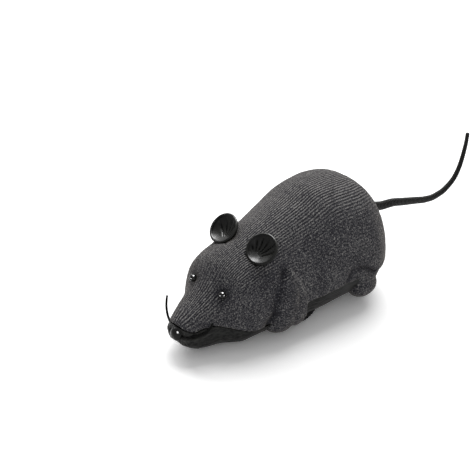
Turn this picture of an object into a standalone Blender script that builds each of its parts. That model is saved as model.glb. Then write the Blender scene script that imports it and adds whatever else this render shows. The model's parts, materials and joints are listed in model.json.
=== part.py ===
"""Radio-controlled mouse cat toy: a flocked shell on a chassis driven by two small motors.

The part is in metres with +Z up. +X points to the nose, +Y to the mouse's left, and the
floor is z = 0. A place along the mouse is given by its distance behind the nose.
"""
import math

import bmesh
import bpy
import numpy as np
from mathutils import Matrix, Vector

# Overall size
BODY_LENGTH = 0.125
BODY_WIDTH = 0.070
BODY_HEIGHT = 0.060
TAIL_REACH = 0.096
NOSE_X = (BODY_LENGTH + TAIL_REACH) / 2

# Places of the battery cells and the axle, from which the works and limbs are placed
CELLS_TO_RUMP = 0.0250
AXLE_TO_CELLS = 0.0320
CELLS_BACK = BODY_LENGTH - CELLS_TO_RUMP
AXLE_BACK = CELLS_BACK - AXLE_TO_CELLS

# Fits
SEAT_GAP = 0.0003
RUN_GAP = 0.00015
CUT_OVERRUN = 0.002
WELD_DISTANCE = 0.000002

# Body form: shares of the length, of half the width and of the height, from nose to rump
BELLY_HEIGHT = 0.004
STATION_SHARES = (0.016, 0.032, 0.08, 0.16, 0.24, 0.32, 0.40, 0.48, 0.60, 0.72, 0.84, 0.92, 0.968, 0.992, 1)
WIDTH_SHARES = (0.14, 0.235, 0.33, 0.44, 0.66, 0.705, 0.77, 0.835, 0.92, 0.95, 1, 0.89, 0.665, 0.40, 0.14)
TOP_SHARES = (0.30, 0.34, 0.40, 0.505, 0.70, 0.765, 0.82, 0.87, 0.935, 1, 0.98, 0.945, 0.80, 0.63, 0.53)
BOTTOM_RISE_SHARES = (0.08, 0.045, 0.022, 0.01, 0, 0, 0, 0, 0, 0, 0.017, 0.067, 0.133, 0.22, 0.30)
WAIST_SHARE = 0.24

# How full the upper section is, at even steps from nose to rump: 2 is an ellipse
FULLNESS_SHARES = (2.1, 2.45, 1.9, 2.2, 2.5)

# How finely the body is drawn, outside and inside
BODY_RINGS = 23
BODY_SIDES = 28
INNER_RINGS = 13
INNER_SIDES = 20

# The section below its widest line, down to the middle of the flat belly
LOWER_WIDTH_SHARES = (1, 0.975, 0.92, 0.81, 0.69, 0.50, 0.25, 0)
LOWER_DROP_SHARES = (0, 0.22, 0.46, 0.74, 0.97, 1, 1, 1)
LEAST_HALF_WIDTH = 0.001

# Line where the shell meets the chassis: shares of the length and of the height
SEAM_STATION_SHARES = (0, 0.052, 0.088, 0.12, 0.16, 0.204, 0.288, 0.36, 0.44, 0.48, 0.56, 0.656, 0.80, 1)
SEAM_HEIGHT_SHARES = (0.32, 0.273, 0.292, 0.298, 0.268, 0.237, 0.203, 0.22, 0.28, 0.30, 0.312, 0.325, 0.32, 0.36)
SEAM_STEPS = 24

# Walls
SHELL_WALL = 0.0020
CHASSIS_WALL = 0.0016
JAW_INSET = 0.0004
SKIRT_INSET = 0.0015
INSET_START_SHARE = 0.30
INSET_END_SHARE = 0.46
CAVITY_START_SHARE = 0.055

# Front leg and paw, hind foot and haunch: distance behind the nose, side, height, and half sizes
ARM_TO_AXLE = 0.0170
ARM_BACK = AXLE_BACK - ARM_TO_AXLE
ARM_SIDE = 0.314 * BODY_WIDTH
ARM_HEIGHT = 0.0207
ARM_RADII = (0.0092, 0.0076, 0.0156)
ARM_LEAN = math.radians(12)
ARM_TUCK = math.radians(10)
PAW_BACK = ARM_BACK - 0.0025
PAW_SIDE = ARM_SIDE - 0.0005
PAW_HEIGHT = 0.0100
PAW_RADII = (0.0080, 0.0066, 0.0054)
FOOT_BACK = CELLS_BACK + 0.0010
FOOT_SIDE = 0.405 * BODY_WIDTH
FOOT_HEIGHT = 0.0109
FOOT_RADII = (0.0088, 0.0066, 0.0066)
HAUNCH_BACK = CELLS_BACK + 0.0015
HAUNCH_SIDE = FOOT_SIDE - 0.0010
HAUNCH_HEIGHT = 0.0180
HAUNCH_RADII = (0.0100, 0.0072, 0.0085)
LIMB_SEGMENTS = 14
LIMB_RINGS = 9

# Screws that hold the shell to the chassis
POST_RADIUS = 0.0030
FRONT_POST_TO_AXLE = 0.0310
FRONT_POST_BACK = AXLE_BACK - FRONT_POST_TO_AXLE
FRONT_POST_SIDE = 0.164 * BODY_WIDTH
FRONT_POST_FOOT = 0.225 * BODY_HEIGHT
REAR_POST_TO_RUMP = 0.0092
REAR_POST_BACK = BODY_LENGTH - REAR_POST_TO_RUMP
REAR_POST_SIDE = 0.157 * BODY_WIDTH
REAR_POST_FOOT = 0.333 * BODY_HEIGHT
SCREW_RADIUS = 0.0010
SCREW_HEAD_RADIUS = 0.0020
SCREW_HEAD_HEIGHT = 0.0012
SCREW_FLOOR = 0.0018
SCREW_GRIP = 0.0060
SCREW_SIDES = 12

# Nose, eyes, ears and whiskers
NOSE_RADII = (0.0030, 0.0035, 0.0036)
NOSE_HEIGHT = 0.2233 * BODY_HEIGHT
EYE_RADIUS = 0.0019
EYE_BACK = 0.18 * BODY_LENGTH
EYE_SIDE = 0.143 * BODY_WIDTH
EYE_RISE = 0.0004
EYE_PEG_RADIUS = 0.0008
EYE_PEG_LENGTH = 0.0046
EYE_SIDES = 14
EYE_STEPS = 8
EAR_RADIUS = 0.0078
EAR_WIDENING = 1.16
EAR_DEPTH = 0.0028
EAR_THICKNESS = 0.0012
EAR_BACK = 0.3576 * BODY_LENGTH
EAR_SIDE = 0.1929 * BODY_WIDTH
EAR_LIFT = 0.0047
EAR_FACING = (0.86, 0.14, 0.49)
EAR_PEG_RADIUS = 0.0011
EAR_PEG_START_SHARE = 0.66
EAR_PEG_LENGTH = 0.0062
EAR_SIDES = 20
EAR_STEPS = 5
WHISKER_RADIUS = 0.0005
WHISKER_TIP_RADIUS = 0.0003
WHISKER_ROOT_BACK = 0.0384 * BODY_LENGTH
WHISKER_ROOT_SIDE = 0.0786 * BODY_WIDTH
WHISKER_ROOT_HEIGHT = 0.2433 * BODY_HEIGHT
WHISKER_SWEEP = 0.0062
WHISKER_SPREAD = 0.0105
WHISKER_RISE = 0.0088
WHISKER_BOW = 0.0020
WHISKER_STEPS = 7

# Tail: its root and tip radius, and its route as shares of its reach and of its tip height
TAIL_ROOT_RADIUS = 0.0027
TAIL_TIP_RADIUS = 0.00095
TAIL_TIP_HEIGHT = 0.7333 * BODY_HEIGHT
TAIL_FLANGE_RADIUS = 0.0042
TAIL_FLANGE_THICKNESS = 0.0012
TAIL_COLLAR_RUN = 0.012
TAIL_RIB_DEPTH = 0.0003
TAIL_RIBS = 50
TAIL_SIDES = 8
TAIL_REACH_SHARES = (-0.088, 0, 0.12, 0.236, 0.333, 0.434, 0.55, 0.64, 0.723, 0.792, 0.853, 0.899, 0.936, 0.961,
                     0.983, 0.996, 1)
TAIL_HEIGHT_SHARES = (0.83, 0.755, 0.645, 0.545, 0.507, 0.443, 0.37, 0.32, 0.30, 0.311, 0.352, 0.409, 0.498, 0.605,
                      0.757, 0.893, 1)

# Wheels on their axles
WHEEL_RADIUS = 0.0115
WHEEL_WIDTH = 0.0044
TYRE_DEPTH = 0.0030
TYRE_CHAMFER = 0.0007
HUB_RIM = 0.0012
HUB_BOSS_RADIUS = 0.0024
HUB_WEB = 0.0014
AXLE_RADIUS = 0.0008
WHEEL_SIDES = 28
HUB_SIDES = 16
SLOT_ROOM = 0.0009

# Gear train, from the wheel up to the motor
GEAR_MODULE = 0.0005
DRIVE_TEETH = 20
SMALL_TEETH = 9
BIG_TEETH = 22
PINION_TEETH = 8
ADDENDUM_SHARE = 0.80
DEDENDUM_SHARE = 1.10
TOOTH_ROOT_SHARE = 0.62
TOOTH_TIP_SHARE = 0.24
COMPOUND_LEAN = math.radians(30)
MOTOR_LEAN = math.radians(80)
PIN_RADIUS = 0.00075
SHAFT_RADIUS = 0.0008
BORE_SIDES = 12
PLATE_THICKNESS = 0.0010
PLATE_SIDE = 0.1514 * BODY_WIDTH
LAYER_GAP = 0.0004
GEAR_WIDTH = 0.0013
SPACER_RADIUS = 0.0012
SPACER_MARGIN = 0.0018
PLATE_MARGIN = 0.0052
PLATE_CHAMFER = 0.0040

# Motors
MOTOR_RADIUS = 0.00775
MOTOR_LENGTH = 0.0172
MOTOR_BOSS_RADIUS = 0.0030
MOTOR_BOSS_LENGTH = 0.0010
MOTOR_CAP_RADIUS = 0.0072
MOTOR_CAP_LENGTH = 0.0024
MOTOR_SIDES = 28
SHAFT_DEPTH = 0.0040
SADDLE_SIDE = 0.0050
SADDLE_THICKNESS = 0.0014
SADDLE_HALF = 0.0062
SADDLE_DROP = 0.0036

# Two AAA cells across the body, their contacts and their door
CELL_RADIUS = 0.00525
CELL_LENGTH = 0.0437
CELL_NUB_RADIUS = 0.0019
CELL_NUB_LENGTH = 0.0008
CELL_HEIGHT = 0.0142
CELL_SPACING = 0.0110
CELL_SIDES = 20
BAY_WALL = 0.0011
CONTACT_THICKNESS = 0.0004
CONTACT_HALF = 0.0040
SPRING_WIRE = 0.00025
SPRING_LARGE = 0.0032
SPRING_SMALL = 0.0016
SPRING_TURNS = 3
SPRING_POINTS = 10
SPRING_LENGTH = 0.0036
DOOR_TAB_HALF = 0.0038
DOOR_TAB_REACH = 0.0050
DOOR_BOSS_HEIGHT = 0.0052
DOOR_SCREW_LENGTH = 0.0045

# Skid under the rump
SKID_BACK = BODY_LENGTH - 0.0095
SKID_HALF_LENGTH = 0.0020
SKID_HALF_WIDTH = 0.0040
SKID_TAPER = 0.0010

# Circuit board and its parts
BOARD_HALF_LENGTH = 0.0120
BOARD_HALF_WIDTH = 0.0130
BOARD_THICKNESS = 0.0016
BOARD_STANDOFF = 0.0022
STANDOFF_RADIUS = 0.0014
STANDOFF_MARGIN = 0.0022
CHIP_HALF = 0.0035
CHIP_THICKNESS = 0.0014
CAPACITOR_RADIUS = 0.0024
CAPACITOR_HEIGHT = 0.0062
CRYSTAL_HALF_LENGTH = 0.0052
CRYSTAL_HALF_WIDTH = 0.0019
CRYSTAL_HEIGHT = 0.0034
WIRE_RADIUS = 0.0005
WIRE_PAIR_SHARE = 0.85
WIRE_LIFT = 0.0070
AERIAL_RISE = 0.0150
AERIAL_RUN = 0.0300

# Slide switch in the belly
SWITCH_BACK = 0.344 * BODY_LENGTH
SWITCH_HALF_LENGTH = 0.0046
SWITCH_HALF_WIDTH = 0.0026
SWITCH_HEIGHT = 0.0036
SWITCH_WALL = 0.0012
SLIDER_HALF_LENGTH = 0.0018
SLIDER_HALF_WIDTH = 0.0010
SLIDER_THICKNESS = 0.0012
KNOB_HALF_LENGTH = 0.0011
KNOB_HALF_WIDTH = 0.0008
KNOB_DROP = 0.0004
SWITCH_TRAVEL = 0.0030

# Caster under the chin
CASTER_BACK = 0.102 * BODY_LENGTH
CASTER_TRAIL = 0.0015
CASTER_WHEEL_RADIUS = 0.0030
CASTER_WHEEL_HALF = 0.0017
CASTER_PIN_RADIUS = 0.0006
FORK_ARM = 0.0008
FORK_ARM_HALF = 0.0012
FORK_DISC_RADIUS = 0.0038
FORK_DISC_THICKNESS = 0.0010
STEM_RADIUS = 0.0012
STEM_BOSS_RADIUS = 0.0026
STEM_BOSS_HEIGHT = 0.0024
RECESS_RADIUS = 0.0054
RECESS_WALL = 0.0012
CAP_RADIUS = 0.0024
CAP_THICKNESS = 0.0012
CASTER_SIDES = 20

# Finishes: colour, roughness and metallic
FLOCK = ("flock", (0.055, 0.055, 0.060, 1), 0.95, 0)
BLACK_PLASTIC = ("black_plastic", (0.018, 0.018, 0.019, 1), 0.45, 0)
GLOSS_BLACK = ("gloss_black", (0.006, 0.006, 0.007, 1), 0.12, 0)
SOFT_BLACK = ("soft_black", (0.014, 0.014, 0.015, 1), 0.50, 0)
TYRE_RUBBER = ("tyre_rubber", (0.012, 0.012, 0.012, 1), 0.80, 0)
STEEL = ("steel", (0.60, 0.60, 0.62, 1), 0.30, 1)
BRASS = ("brass", (0.72, 0.52, 0.20, 1), 0.32, 1)
WHITE_NYLON = ("white_nylon", (0.78, 0.78, 0.74, 1), 0.50, 0)
GREY_NYLON = ("grey_nylon", (0.30, 0.31, 0.32, 1), 0.50, 0)
CELL_JACKET = ("cell_jacket", (0.08, 0.10, 0.14, 1), 0.30, 0)
BOARD_GREEN = ("board_green", (0.03, 0.16, 0.07, 1), 0.40, 0)
WIRE_RED = ("wire_red", (0.45, 0.03, 0.02, 1), 0.45, 0)


def clear_scene():
    """Remove the objects that the file opens with."""
    for item in list(bpy.data.objects):
        bpy.data.objects.remove(item)


def material(finish):
    """Return the finish's Principled material, made on its first use."""
    name, colour, roughness, metallic = finish
    found = bpy.data.materials.get(name)
    if found:
        return found
    made = bpy.data.materials.new(name)
    made.use_nodes = True
    shader = made.node_tree.nodes["Principled BSDF"]
    shader.inputs["Base Color"].default_value = colour
    shader.inputs["Roughness"].default_value = roughness
    shader.inputs["Metallic"].default_value = metallic
    return made


def make(name, bm, finish=None, origin=(0, 0, 0), smooth=True):
    """Turn a bmesh in world places into an object whose origin is the given point."""
    bm.normal_update()
    bmesh.ops.recalc_face_normals(bm, faces=bm.faces)
    bm.transform(Matrix.Translation(-Vector(origin)))
    mesh = bpy.data.meshes.new(name)
    bm.to_mesh(mesh)
    bm.free()
    if smooth:
        mesh.shade_smooth()
        mesh.set_sharp_from_angle(angle=math.radians(35))
    item = bpy.data.objects.new(name, mesh)
    item.location = origin
    bpy.context.scene.collection.objects.link(item)
    if finish:
        mesh.materials.append(material(finish))
    return item


def boolean(target, tool, operation):
    """Cut, join or intersect the target with the tool, and remove the tool."""
    bpy.context.view_layer.update()
    modifier = target.modifiers.new("Boolean", "BOOLEAN")
    modifier.operation = operation
    modifier.solver = "EXACT"
    modifier.object = tool
    graph = bpy.context.evaluated_depsgraph_get()
    mesh = bpy.data.meshes.new_from_object(target.evaluated_get(graph))
    bm = bmesh.new()
    bm.from_mesh(mesh)
    bmesh.ops.remove_doubles(bm, verts=bm.verts, dist=WELD_DISTANCE)
    bmesh.ops.dissolve_degenerate(bm, edges=bm.edges, dist=WELD_DISTANCE)
    bmesh.ops.delete(bm, geom=[edge for edge in bm.edges if edge.is_wire], context="EDGES")
    bm.to_mesh(mesh)
    bm.free()
    target.modifiers.clear()
    target.data = mesh
    bpy.data.objects.remove(tool)
    return target


def cut(target, *tools):
    """Cut the target with each tool."""
    for tool in tools:
        boolean(target, tool, "DIFFERENCE")
    return target


def unite(target, *tools):
    """Join each tool to the target."""
    for tool in tools:
        boolean(target, tool, "UNION")
    return target


def gathered(first, *others):
    """Return several closed forms that stand apart from each other as one object."""
    bm = bmesh.new()
    for item in (first, *others):
        item.data.transform(Matrix.Translation(item.location))
        bm.from_mesh(item.data)
        bpy.data.objects.remove(item)
    return make("tool", bm)


def dress(item, name, finish):
    """Name a finished object and give it one material."""
    item.name = name
    item.data.materials.clear()
    item.data.materials.append(material(finish))
    item.data.shade_smooth()
    item.data.set_sharp_from_angle(angle=math.radians(35))
    return item


def at(back, side=0.0, height=0.0):
    """Return the point at a distance behind the nose, to the left and above the floor."""
    return Vector((NOSE_X - back, side, height))


# Plain solids

def box(low, high, name="tool", finish=None, origin=(0, 0, 0)):
    """Return a box between two corners, given in any order."""
    low, high = Vector(low), Vector(high)
    bm = bmesh.new()
    bmesh.ops.create_cube(bm, size=1)
    size = high - low
    stretch = Matrix.Diagonal((abs(size.x), abs(size.y), abs(size.z), 1))
    bm.transform(Matrix.Translation((low + high) / 2) @ stretch)
    return make(name, bm, finish, origin, smooth=False)


def ellipsoid(centre, radii, turn=Matrix.Identity(4), segments=LIMB_SEGMENTS, rings=LIMB_RINGS):
    """Return an ellipsoid, turned about its centre."""
    bm = bmesh.new()
    bmesh.ops.create_uvsphere(bm, u_segments=segments, v_segments=rings, radius=1)
    bm.transform(Matrix.Translation(centre) @ turn @ Matrix.Diagonal((*radii, 1)))
    return make("tool", bm)


def frame_along(start, direction):
    """Return the frame at a point whose Z axis runs along a direction."""
    turn = Vector((0, 0, 1)).rotation_difference(Vector(direction)).to_matrix().to_4x4()
    return Matrix.Translation(start) @ turn


def turned(profile, start, direction, sides, name="tool", finish=None, origin=(0, 0, 0), ring=False):
    """Turn a profile of (radius, distance along the axis) points about an axis.

    A profile from axis to axis makes a solid, and ring closes one that stays off the axis.
    """
    bm = bmesh.new()
    loops = []
    for radius, along in profile:
        if radius == 0:
            loops.append([bm.verts.new((0, 0, along))])
            continue
        angles = [math.tau * k / sides for k in range(sides)]
        loops.append([bm.verts.new((radius * math.cos(a), radius * math.sin(a), along)) for a in angles])
    pairs = list(zip(loops, loops[1:]))
    if ring:
        pairs.append((loops[-1], loops[0]))
    for one, two in pairs:
        for k in range(sides):
            corners = [one[k % len(one)], one[(k + 1) % len(one)], two[(k + 1) % len(two)], two[k % len(two)]]
            bm.faces.new(list(dict.fromkeys(corners)))
    bm.transform(frame_along(start, direction))
    return make(name, bm, finish, origin)


def rod(start, end, radius, sides=24, name="tool", finish=None, origin=(0, 0, 0)):
    """Return a plain cylinder from one point to another."""
    reach = Vector(end) - Vector(start)
    profile = ((0, 0), (radius, 0), (radius, reach.length), (0, reach.length))
    return turned(profile, start, reach, sides, name, finish, origin)


def plate(outlines, start, end, name="tool", finish=None, origin=(0, 0, 0)):
    """Return a plate across Y whose first (x, z) outline is its edge and the rest its holes."""
    bm = bmesh.new()
    edges = []
    for outline in outlines:
        points = [bm.verts.new((x, start, z)) for x, z in outline]
        edges += [bm.edges.new((points[k - 1], points[k])) for k in range(len(points))]
    bmesh.ops.triangle_fill(bm, use_beauty=True, edges=edges)
    grown = bmesh.ops.extrude_face_region(bm, geom=bm.faces[:])
    moved = [item for item in grown["geom"] if isinstance(item, bmesh.types.BMVert)]
    bmesh.ops.translate(bm, verts=moved, vec=(0, end - start, 0))
    return make(name, bm, finish, origin, smooth=False)


def circle(x, z, radius, sides=BORE_SIDES):
    """Return a round (x, z) outline."""
    angles = [math.tau * k / sides for k in range(sides)]
    return [(x + radius * math.cos(a), z + radius * math.sin(a)) for a in angles]


def swept(points, radii, sides, name="tool", finish=None, origin=(0, 0, 0)):
    """Return a tube through the points with a radius at each, closed at both ends."""
    points = [Vector(p) for p in points]
    bm = bmesh.new()
    loops = []
    across = None
    for k, point in enumerate(points):
        ahead = (points[min(k + 1, len(points) - 1)] - points[max(k - 1, 0)]).normalized()
        if across is None:
            across = ahead.orthogonal().normalized()
        across = (across - ahead * across.dot(ahead)).normalized()
        up = ahead.cross(across)
        loop = []
        for j in range(sides):
            angle = math.tau * j / sides
            loop.append(bm.verts.new(point + radii[k] * (math.cos(angle) * across + math.sin(angle) * up)))
        loops.append(loop)
    for one, two in zip(loops, loops[1:]):
        for j in range(sides):
            bm.faces.new((one[j], one[(j + 1) % sides], two[(j + 1) % sides], two[j]))
    bm.faces.new(loops[0])
    bm.faces.new(loops[-1])
    return make(name, bm, finish, origin)


# Smooth tables

def smooth_table(places, values, where):
    """Read a smooth curve, which never overshoots its points, at one place."""
    steps = np.diff(places)
    slopes = np.diff(values) / steps
    tangents = np.zeros(len(places))
    tangents[0], tangents[-1] = slopes[0], slopes[-1]
    for k in range(1, len(slopes)):
        if slopes[k - 1] * slopes[k] > 0:
            first = 2 * steps[k] + steps[k - 1]
            second = steps[k] + 2 * steps[k - 1]
            tangents[k] = (first + second) / (first / slopes[k - 1] + second / slopes[k])
    k = int(np.clip(np.searchsorted(places, where) - 1, 0, len(steps) - 1))
    t = (where - places[k]) / steps[k]
    rise = values[k + 1] - values[k]
    ease = t * t * (3 - 2 * t)
    lean = steps[k] * t * (1 - t) * ((1 - t) * tangents[k] - t * tangents[k + 1])
    return float(values[k] + rise * ease + lean)


def fullness(share):
    """Return how full the upper section is at a share of the body's length."""
    places = [k / (len(FULLNESS_SHARES) - 1) for k in range(len(FULLNESS_SHARES))]
    return smooth_table(places, FULLNESS_SHARES, share)


def section_point(turn, power):
    """Return a section's side and height, as shares, at a share of the way round it."""
    if turn <= 0.5:
        across, rise = math.cos(math.tau * turn), max(math.sin(math.tau * turn), 0)
        return math.copysign(abs(across) ** (2 / power), across), rise ** (2 / power)
    down = 1 - abs(4 * turn - 3)
    places = [k / (len(LOWER_WIDTH_SHARES) - 1) for k in range(len(LOWER_WIDTH_SHARES))]
    width = smooth_table(places, LOWER_WIDTH_SHARES, down)
    drop = smooth_table(places, LOWER_DROP_SHARES, down)
    return math.copysign(width, turn - 0.75), -drop


def seam_height(back):
    """Return the height of the line between shell and chassis."""
    return BODY_HEIGHT * smooth_table(SEAM_STATION_SHARES, SEAM_HEIGHT_SHARES, back / BODY_LENGTH)


def section(share):
    """Return the body's half width, top, bottom and widest height at a share of its length."""
    half_width = BODY_WIDTH / 2 * smooth_table(STATION_SHARES, WIDTH_SHARES, share)
    top = BODY_HEIGHT * smooth_table(STATION_SHARES, TOP_SHARES, share)
    bottom = BELLY_HEIGHT + BODY_HEIGHT * smooth_table(STATION_SHARES, BOTTOM_RISE_SHARES, share)
    return half_width, top, bottom, bottom + WAIST_SHARE * (top - bottom)


def skin_height(back, side):
    """Return the height of the body's upper skin at a place."""
    half_width, top, _, waist = section(back / BODY_LENGTH)
    power = fullness(back / BODY_LENGTH)
    return waist + (top - waist) * (1 - abs(side / half_width) ** power) ** (1 / power)


def skin_normal(back, side):
    """Return the outward direction of the body's upper skin at a place."""
    step = EYE_RADIUS / 2
    along = at(back + step, side, skin_height(back + step, side)) - at(back, side, skin_height(back, side))
    over = at(back, side + step, skin_height(back, side + step)) - at(back, side, skin_height(back, side))
    normal = along.cross(over).normalized()
    return normal if normal.z > 0 else -normal


def inset_at(share, amount, jaw_amount):
    """Return the side inset at a station, which may be smaller along the jaw."""
    t = (share - INSET_START_SHARE) / (INSET_END_SHARE - INSET_START_SHARE)
    t = min(max(t, 0), 1)
    return jaw_amount + (amount - jaw_amount) * t * t * (3 - 2 * t)


def body_loft(side, jaw, roof, floor, ends, first_share=STATION_SHARES[0], rings=BODY_RINGS, sides=BODY_SIDES):
    """Return the closed body form, drawn in at the sides, jaw, roof, floor and ends."""
    bm = bmesh.new()
    loops = []
    for k in range(rings):
        t = k / (rings - 1)
        share = (t + (1 - math.cos(math.pi * t)) / 2) / 2
        share = first_share + (1 - first_share) * share
        half_width, top, bottom, waist = section(share)
        half_width = max(half_width - inset_at(share, side, jaw), LEAST_HALF_WIDTH)
        top = max(top - roof, waist + LEAST_HALF_WIDTH)
        bottom = min(bottom + floor, waist - LEAST_HALF_WIDTH)
        x = NOSE_X - BODY_LENGTH * share - ends * (1 - 2 * share)
        loop = []
        for j in range(sides):
            across, rise = section_point(j / sides, fullness(share))
            reach = top - waist if rise > 0 else waist - bottom
            loop.append(bm.verts.new((x, half_width * across, waist + reach * rise)))
        loops.append(loop)
    for one, two in zip(loops, loops[1:]):
        for j in range(sides):
            bm.faces.new((one[j], one[(j + 1) % sides], two[(j + 1) % sides], two[j]))
    bm.faces.new(loops[0])
    bm.faces.new(loops[-1])
    return make("tool", bm)


def seam_block(above, offset):
    """Return the block above or below the seam line, moved up by an offset."""
    line = []
    for k in range(SEAM_STEPS + 1):
        back = BODY_LENGTH * k / SEAM_STEPS
        line.append((NOSE_X - back, seam_height(back) + offset))
    front, rear = NOSE_X + CUT_OVERRUN, NOSE_X - BODY_LENGTH - CUT_OVERRUN
    far = BODY_HEIGHT + CUT_OVERRUN if above else -BODY_HEIGHT
    outline = [(front, far), (front, line[0][1]), *line, (rear, line[-1][1]), (rear, far)]
    return plate([outline], -BODY_WIDTH, BODY_WIDTH)


# Limbs

def limb_shapes(side, grow=0.0):
    """Return the arm, paw, foot and haunch of one side, grown by a clearance."""
    lean = Matrix.Rotation(-ARM_LEAN, 4, "Y")
    tuck = Matrix.Rotation(side * ARM_TUCK, 4, "X")
    arm = ellipsoid(at(ARM_BACK, side * ARM_SIDE, ARM_HEIGHT), [r + grow for r in ARM_RADII], tuck @ lean)
    paw = ellipsoid(at(PAW_BACK, side * PAW_SIDE, PAW_HEIGHT), [r + grow for r in PAW_RADII])
    foot = ellipsoid(at(FOOT_BACK, side * FOOT_SIDE, FOOT_HEIGHT), [r + grow for r in FOOT_RADII])
    haunch = ellipsoid(at(HAUNCH_BACK, side * HAUNCH_SIDE, HAUNCH_HEIGHT), [r + grow for r in HAUNCH_RADII])
    return arm, paw, foot, haunch


def limbs(grow=0.0):
    """Return all limbs as one solid, cut clear of the battery bay."""
    arm, *others = limb_shapes(1, grow)
    whole = unite(arm, *others)
    unite(whole, *limb_shapes(-1, grow))
    room = BAY_WALL + SEAT_GAP - 1.5 * grow
    bay_low = at(BAY_REAR + room, -BAY_HALF_WIDTH - room, -CUT_OVERRUN)
    bay_high = at(BAY_FRONT - room, BAY_HALF_WIDTH + room, BAY_ROOF + room)
    return cut(whole, box(bay_low, bay_high))


def post_places():
    """Return each case screw's distance behind the nose, side and shell post foot, left first."""
    places = []
    for side in (1, -1):
        places.append((FRONT_POST_BACK, side * FRONT_POST_SIDE, FRONT_POST_FOOT))
        places.append((REAR_POST_BACK, side * REAR_POST_SIDE, REAR_POST_FOOT))
    return places


def belly_at(back):
    """Return the height of the chassis's underside on its middle line."""
    return section(back / BODY_LENGTH)[2]


def screw_seat(back):
    """Return the height of the face that a case screw's head bears on."""
    return belly_at(back) + SCREW_HEAD_HEIGHT + SCREW_FLOOR


# Nose, eyes, ears and whiskers

def nose_centre():
    """Return the middle of the nose, whose tip is the front of the part."""
    return at(NOSE_RADII[0], 0, NOSE_HEIGHT)


def nose_form(grow=0.0):
    """Return the nose, with its pole at the tip, grown by a clearance."""
    length, width, height = (radius + grow for radius in NOSE_RADII)
    return ellipsoid(nose_centre(), (height, width, length), Matrix.Rotation(math.pi / 2, 4, "Y"))


def nose():
    """Return the glossy nose."""
    return dress(nose_form(), "nose", GLOSS_BLACK)


def eye_centre(side):
    """Return the middle of an eye bead and the way it looks."""
    normal = skin_normal(EYE_BACK, side * EYE_SIDE)
    return at(EYE_BACK, side * EYE_SIDE, skin_height(EYE_BACK, side * EYE_SIDE)) + normal * EYE_RISE, normal


def eye_form(side, grow=0.0, overrun=0.0):
    """Return an eye bead with the peg behind it, grown by a clearance."""
    centre, normal = eye_centre(side)
    radius, peg, foot = EYE_RADIUS + grow, EYE_PEG_RADIUS + grow, -EYE_PEG_LENGTH - overrun
    start = math.asin(peg / radius)
    profile = [(0, foot), (peg, foot)]
    for k in range(EYE_STEPS):
        angle = start + (math.pi - start) * k / EYE_STEPS
        profile.append((radius * math.sin(angle), -radius * math.cos(angle)))
    profile.append((0, radius))
    return turned(profile, centre, normal, EYE_SIDES)


def eye(side, name):
    """Return a bead eye with the peg that holds it in the shell."""
    return dress(eye_form(side), name, GLOSS_BLACK)


def ear_frame(side):
    """Return the ear's frame: X across it, Y up it and Z the way it faces."""
    facing = Vector((EAR_FACING[0], side * EAR_FACING[1], EAR_FACING[2])).normalized()
    across = Vector((0, 0, 1)).cross(facing).normalized()
    up = facing.cross(across)
    turn = Matrix((across, up, facing)).transposed().to_4x4()
    height = skin_height(EAR_BACK, EAR_SIDE) + EAR_LIFT
    return Matrix.Translation(at(EAR_BACK, side * EAR_SIDE, height)) @ turn


def ear_peg(side, grow=0.0, overrun=0.0):
    """Return the peg at an ear's foot, which passes through the shell."""
    frame = ear_frame(side)
    start = EAR_PEG_START_SHARE * EAR_RADIUS
    depth = EAR_DEPTH * (EAR_PEG_START_SHARE ** 2 - 1) - EAR_THICKNESS / 2
    top = frame @ Vector((0, -start, depth))
    foot = frame @ Vector((0, -start - EAR_PEG_LENGTH - overrun, depth))
    return rod(top, foot, EAR_PEG_RADIUS + grow, 10)


def ear(side, name):
    """Return a dished ear that stands on the head with its peg."""
    shares = [k / EAR_STEPS for k in range(EAR_STEPS + 1)]
    front = [(EAR_RADIUS * t, EAR_DEPTH * (t * t - 1)) for t in shares]
    back = [(EAR_RADIUS * t, EAR_DEPTH * (t * t - 1) - EAR_THICKNESS) for t in reversed(shares)]
    dish = turned(front + back, (0, 0, 0), (0, 0, 1), EAR_SIDES)
    widen = Matrix.Diagonal((EAR_WIDENING, 1, 1, 1))
    dish.data.transform(ear_frame(side) @ widen)
    cut(dish, body_loft(-SEAT_GAP, -SEAT_GAP, -SEAT_GAP, -SEAT_GAP, -SEAT_GAP))
    return dress(unite(dish, ear_peg(side)), name, SOFT_BLACK)


def whisker_points(side, lead=0.0):
    """Return the bowed line of a whisker, which may start deeper in the muzzle."""
    root = at(WHISKER_ROOT_BACK, side * WHISKER_ROOT_SIDE, WHISKER_ROOT_HEIGHT)
    way = Vector((-WHISKER_SWEEP, side * WHISKER_SPREAD, WHISKER_RISE))
    bow = Vector((0, side * WHISKER_BOW, -WHISKER_BOW))
    points = []
    for k in range(WHISKER_STEPS + 1):
        t = k / WHISKER_STEPS
        points.append(root + way * t + bow * (4 * t * (1 - t)))
    outward = (points[1] - points[0]).normalized()
    points[0] = points[0] - outward * lead
    return points


def whisker(side, name):
    """Return one tapering whisker."""
    points = whisker_points(side)
    slim = (WHISKER_TIP_RADIUS - WHISKER_RADIUS) / WHISKER_STEPS
    radii = [WHISKER_RADIUS + slim * k for k in range(len(points))]
    return swept(points, radii, 6, name, SOFT_BLACK)


def whisker_hole(side):
    """Return the cutter for the hole that a whisker's root sits in."""
    points = whisker_points(side, lead=RUN_GAP * 2)
    return rod(points[0], points[0].lerp(points[2], 1), WHISKER_RADIUS + RUN_GAP * 2, 8)


# Tail

def tail_point(share):
    """Return the tail's middle line at a share of its run."""
    places = [k / (len(TAIL_REACH_SHARES) - 1) for k in range(len(TAIL_REACH_SHARES))]
    reach = smooth_table(places, TAIL_REACH_SHARES, share) * (TAIL_REACH - TAIL_TIP_RADIUS)
    height = smooth_table(places, TAIL_HEIGHT_SHARES, share) * TAIL_TIP_HEIGHT
    return at(BODY_LENGTH + reach, 0, height)


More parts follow.
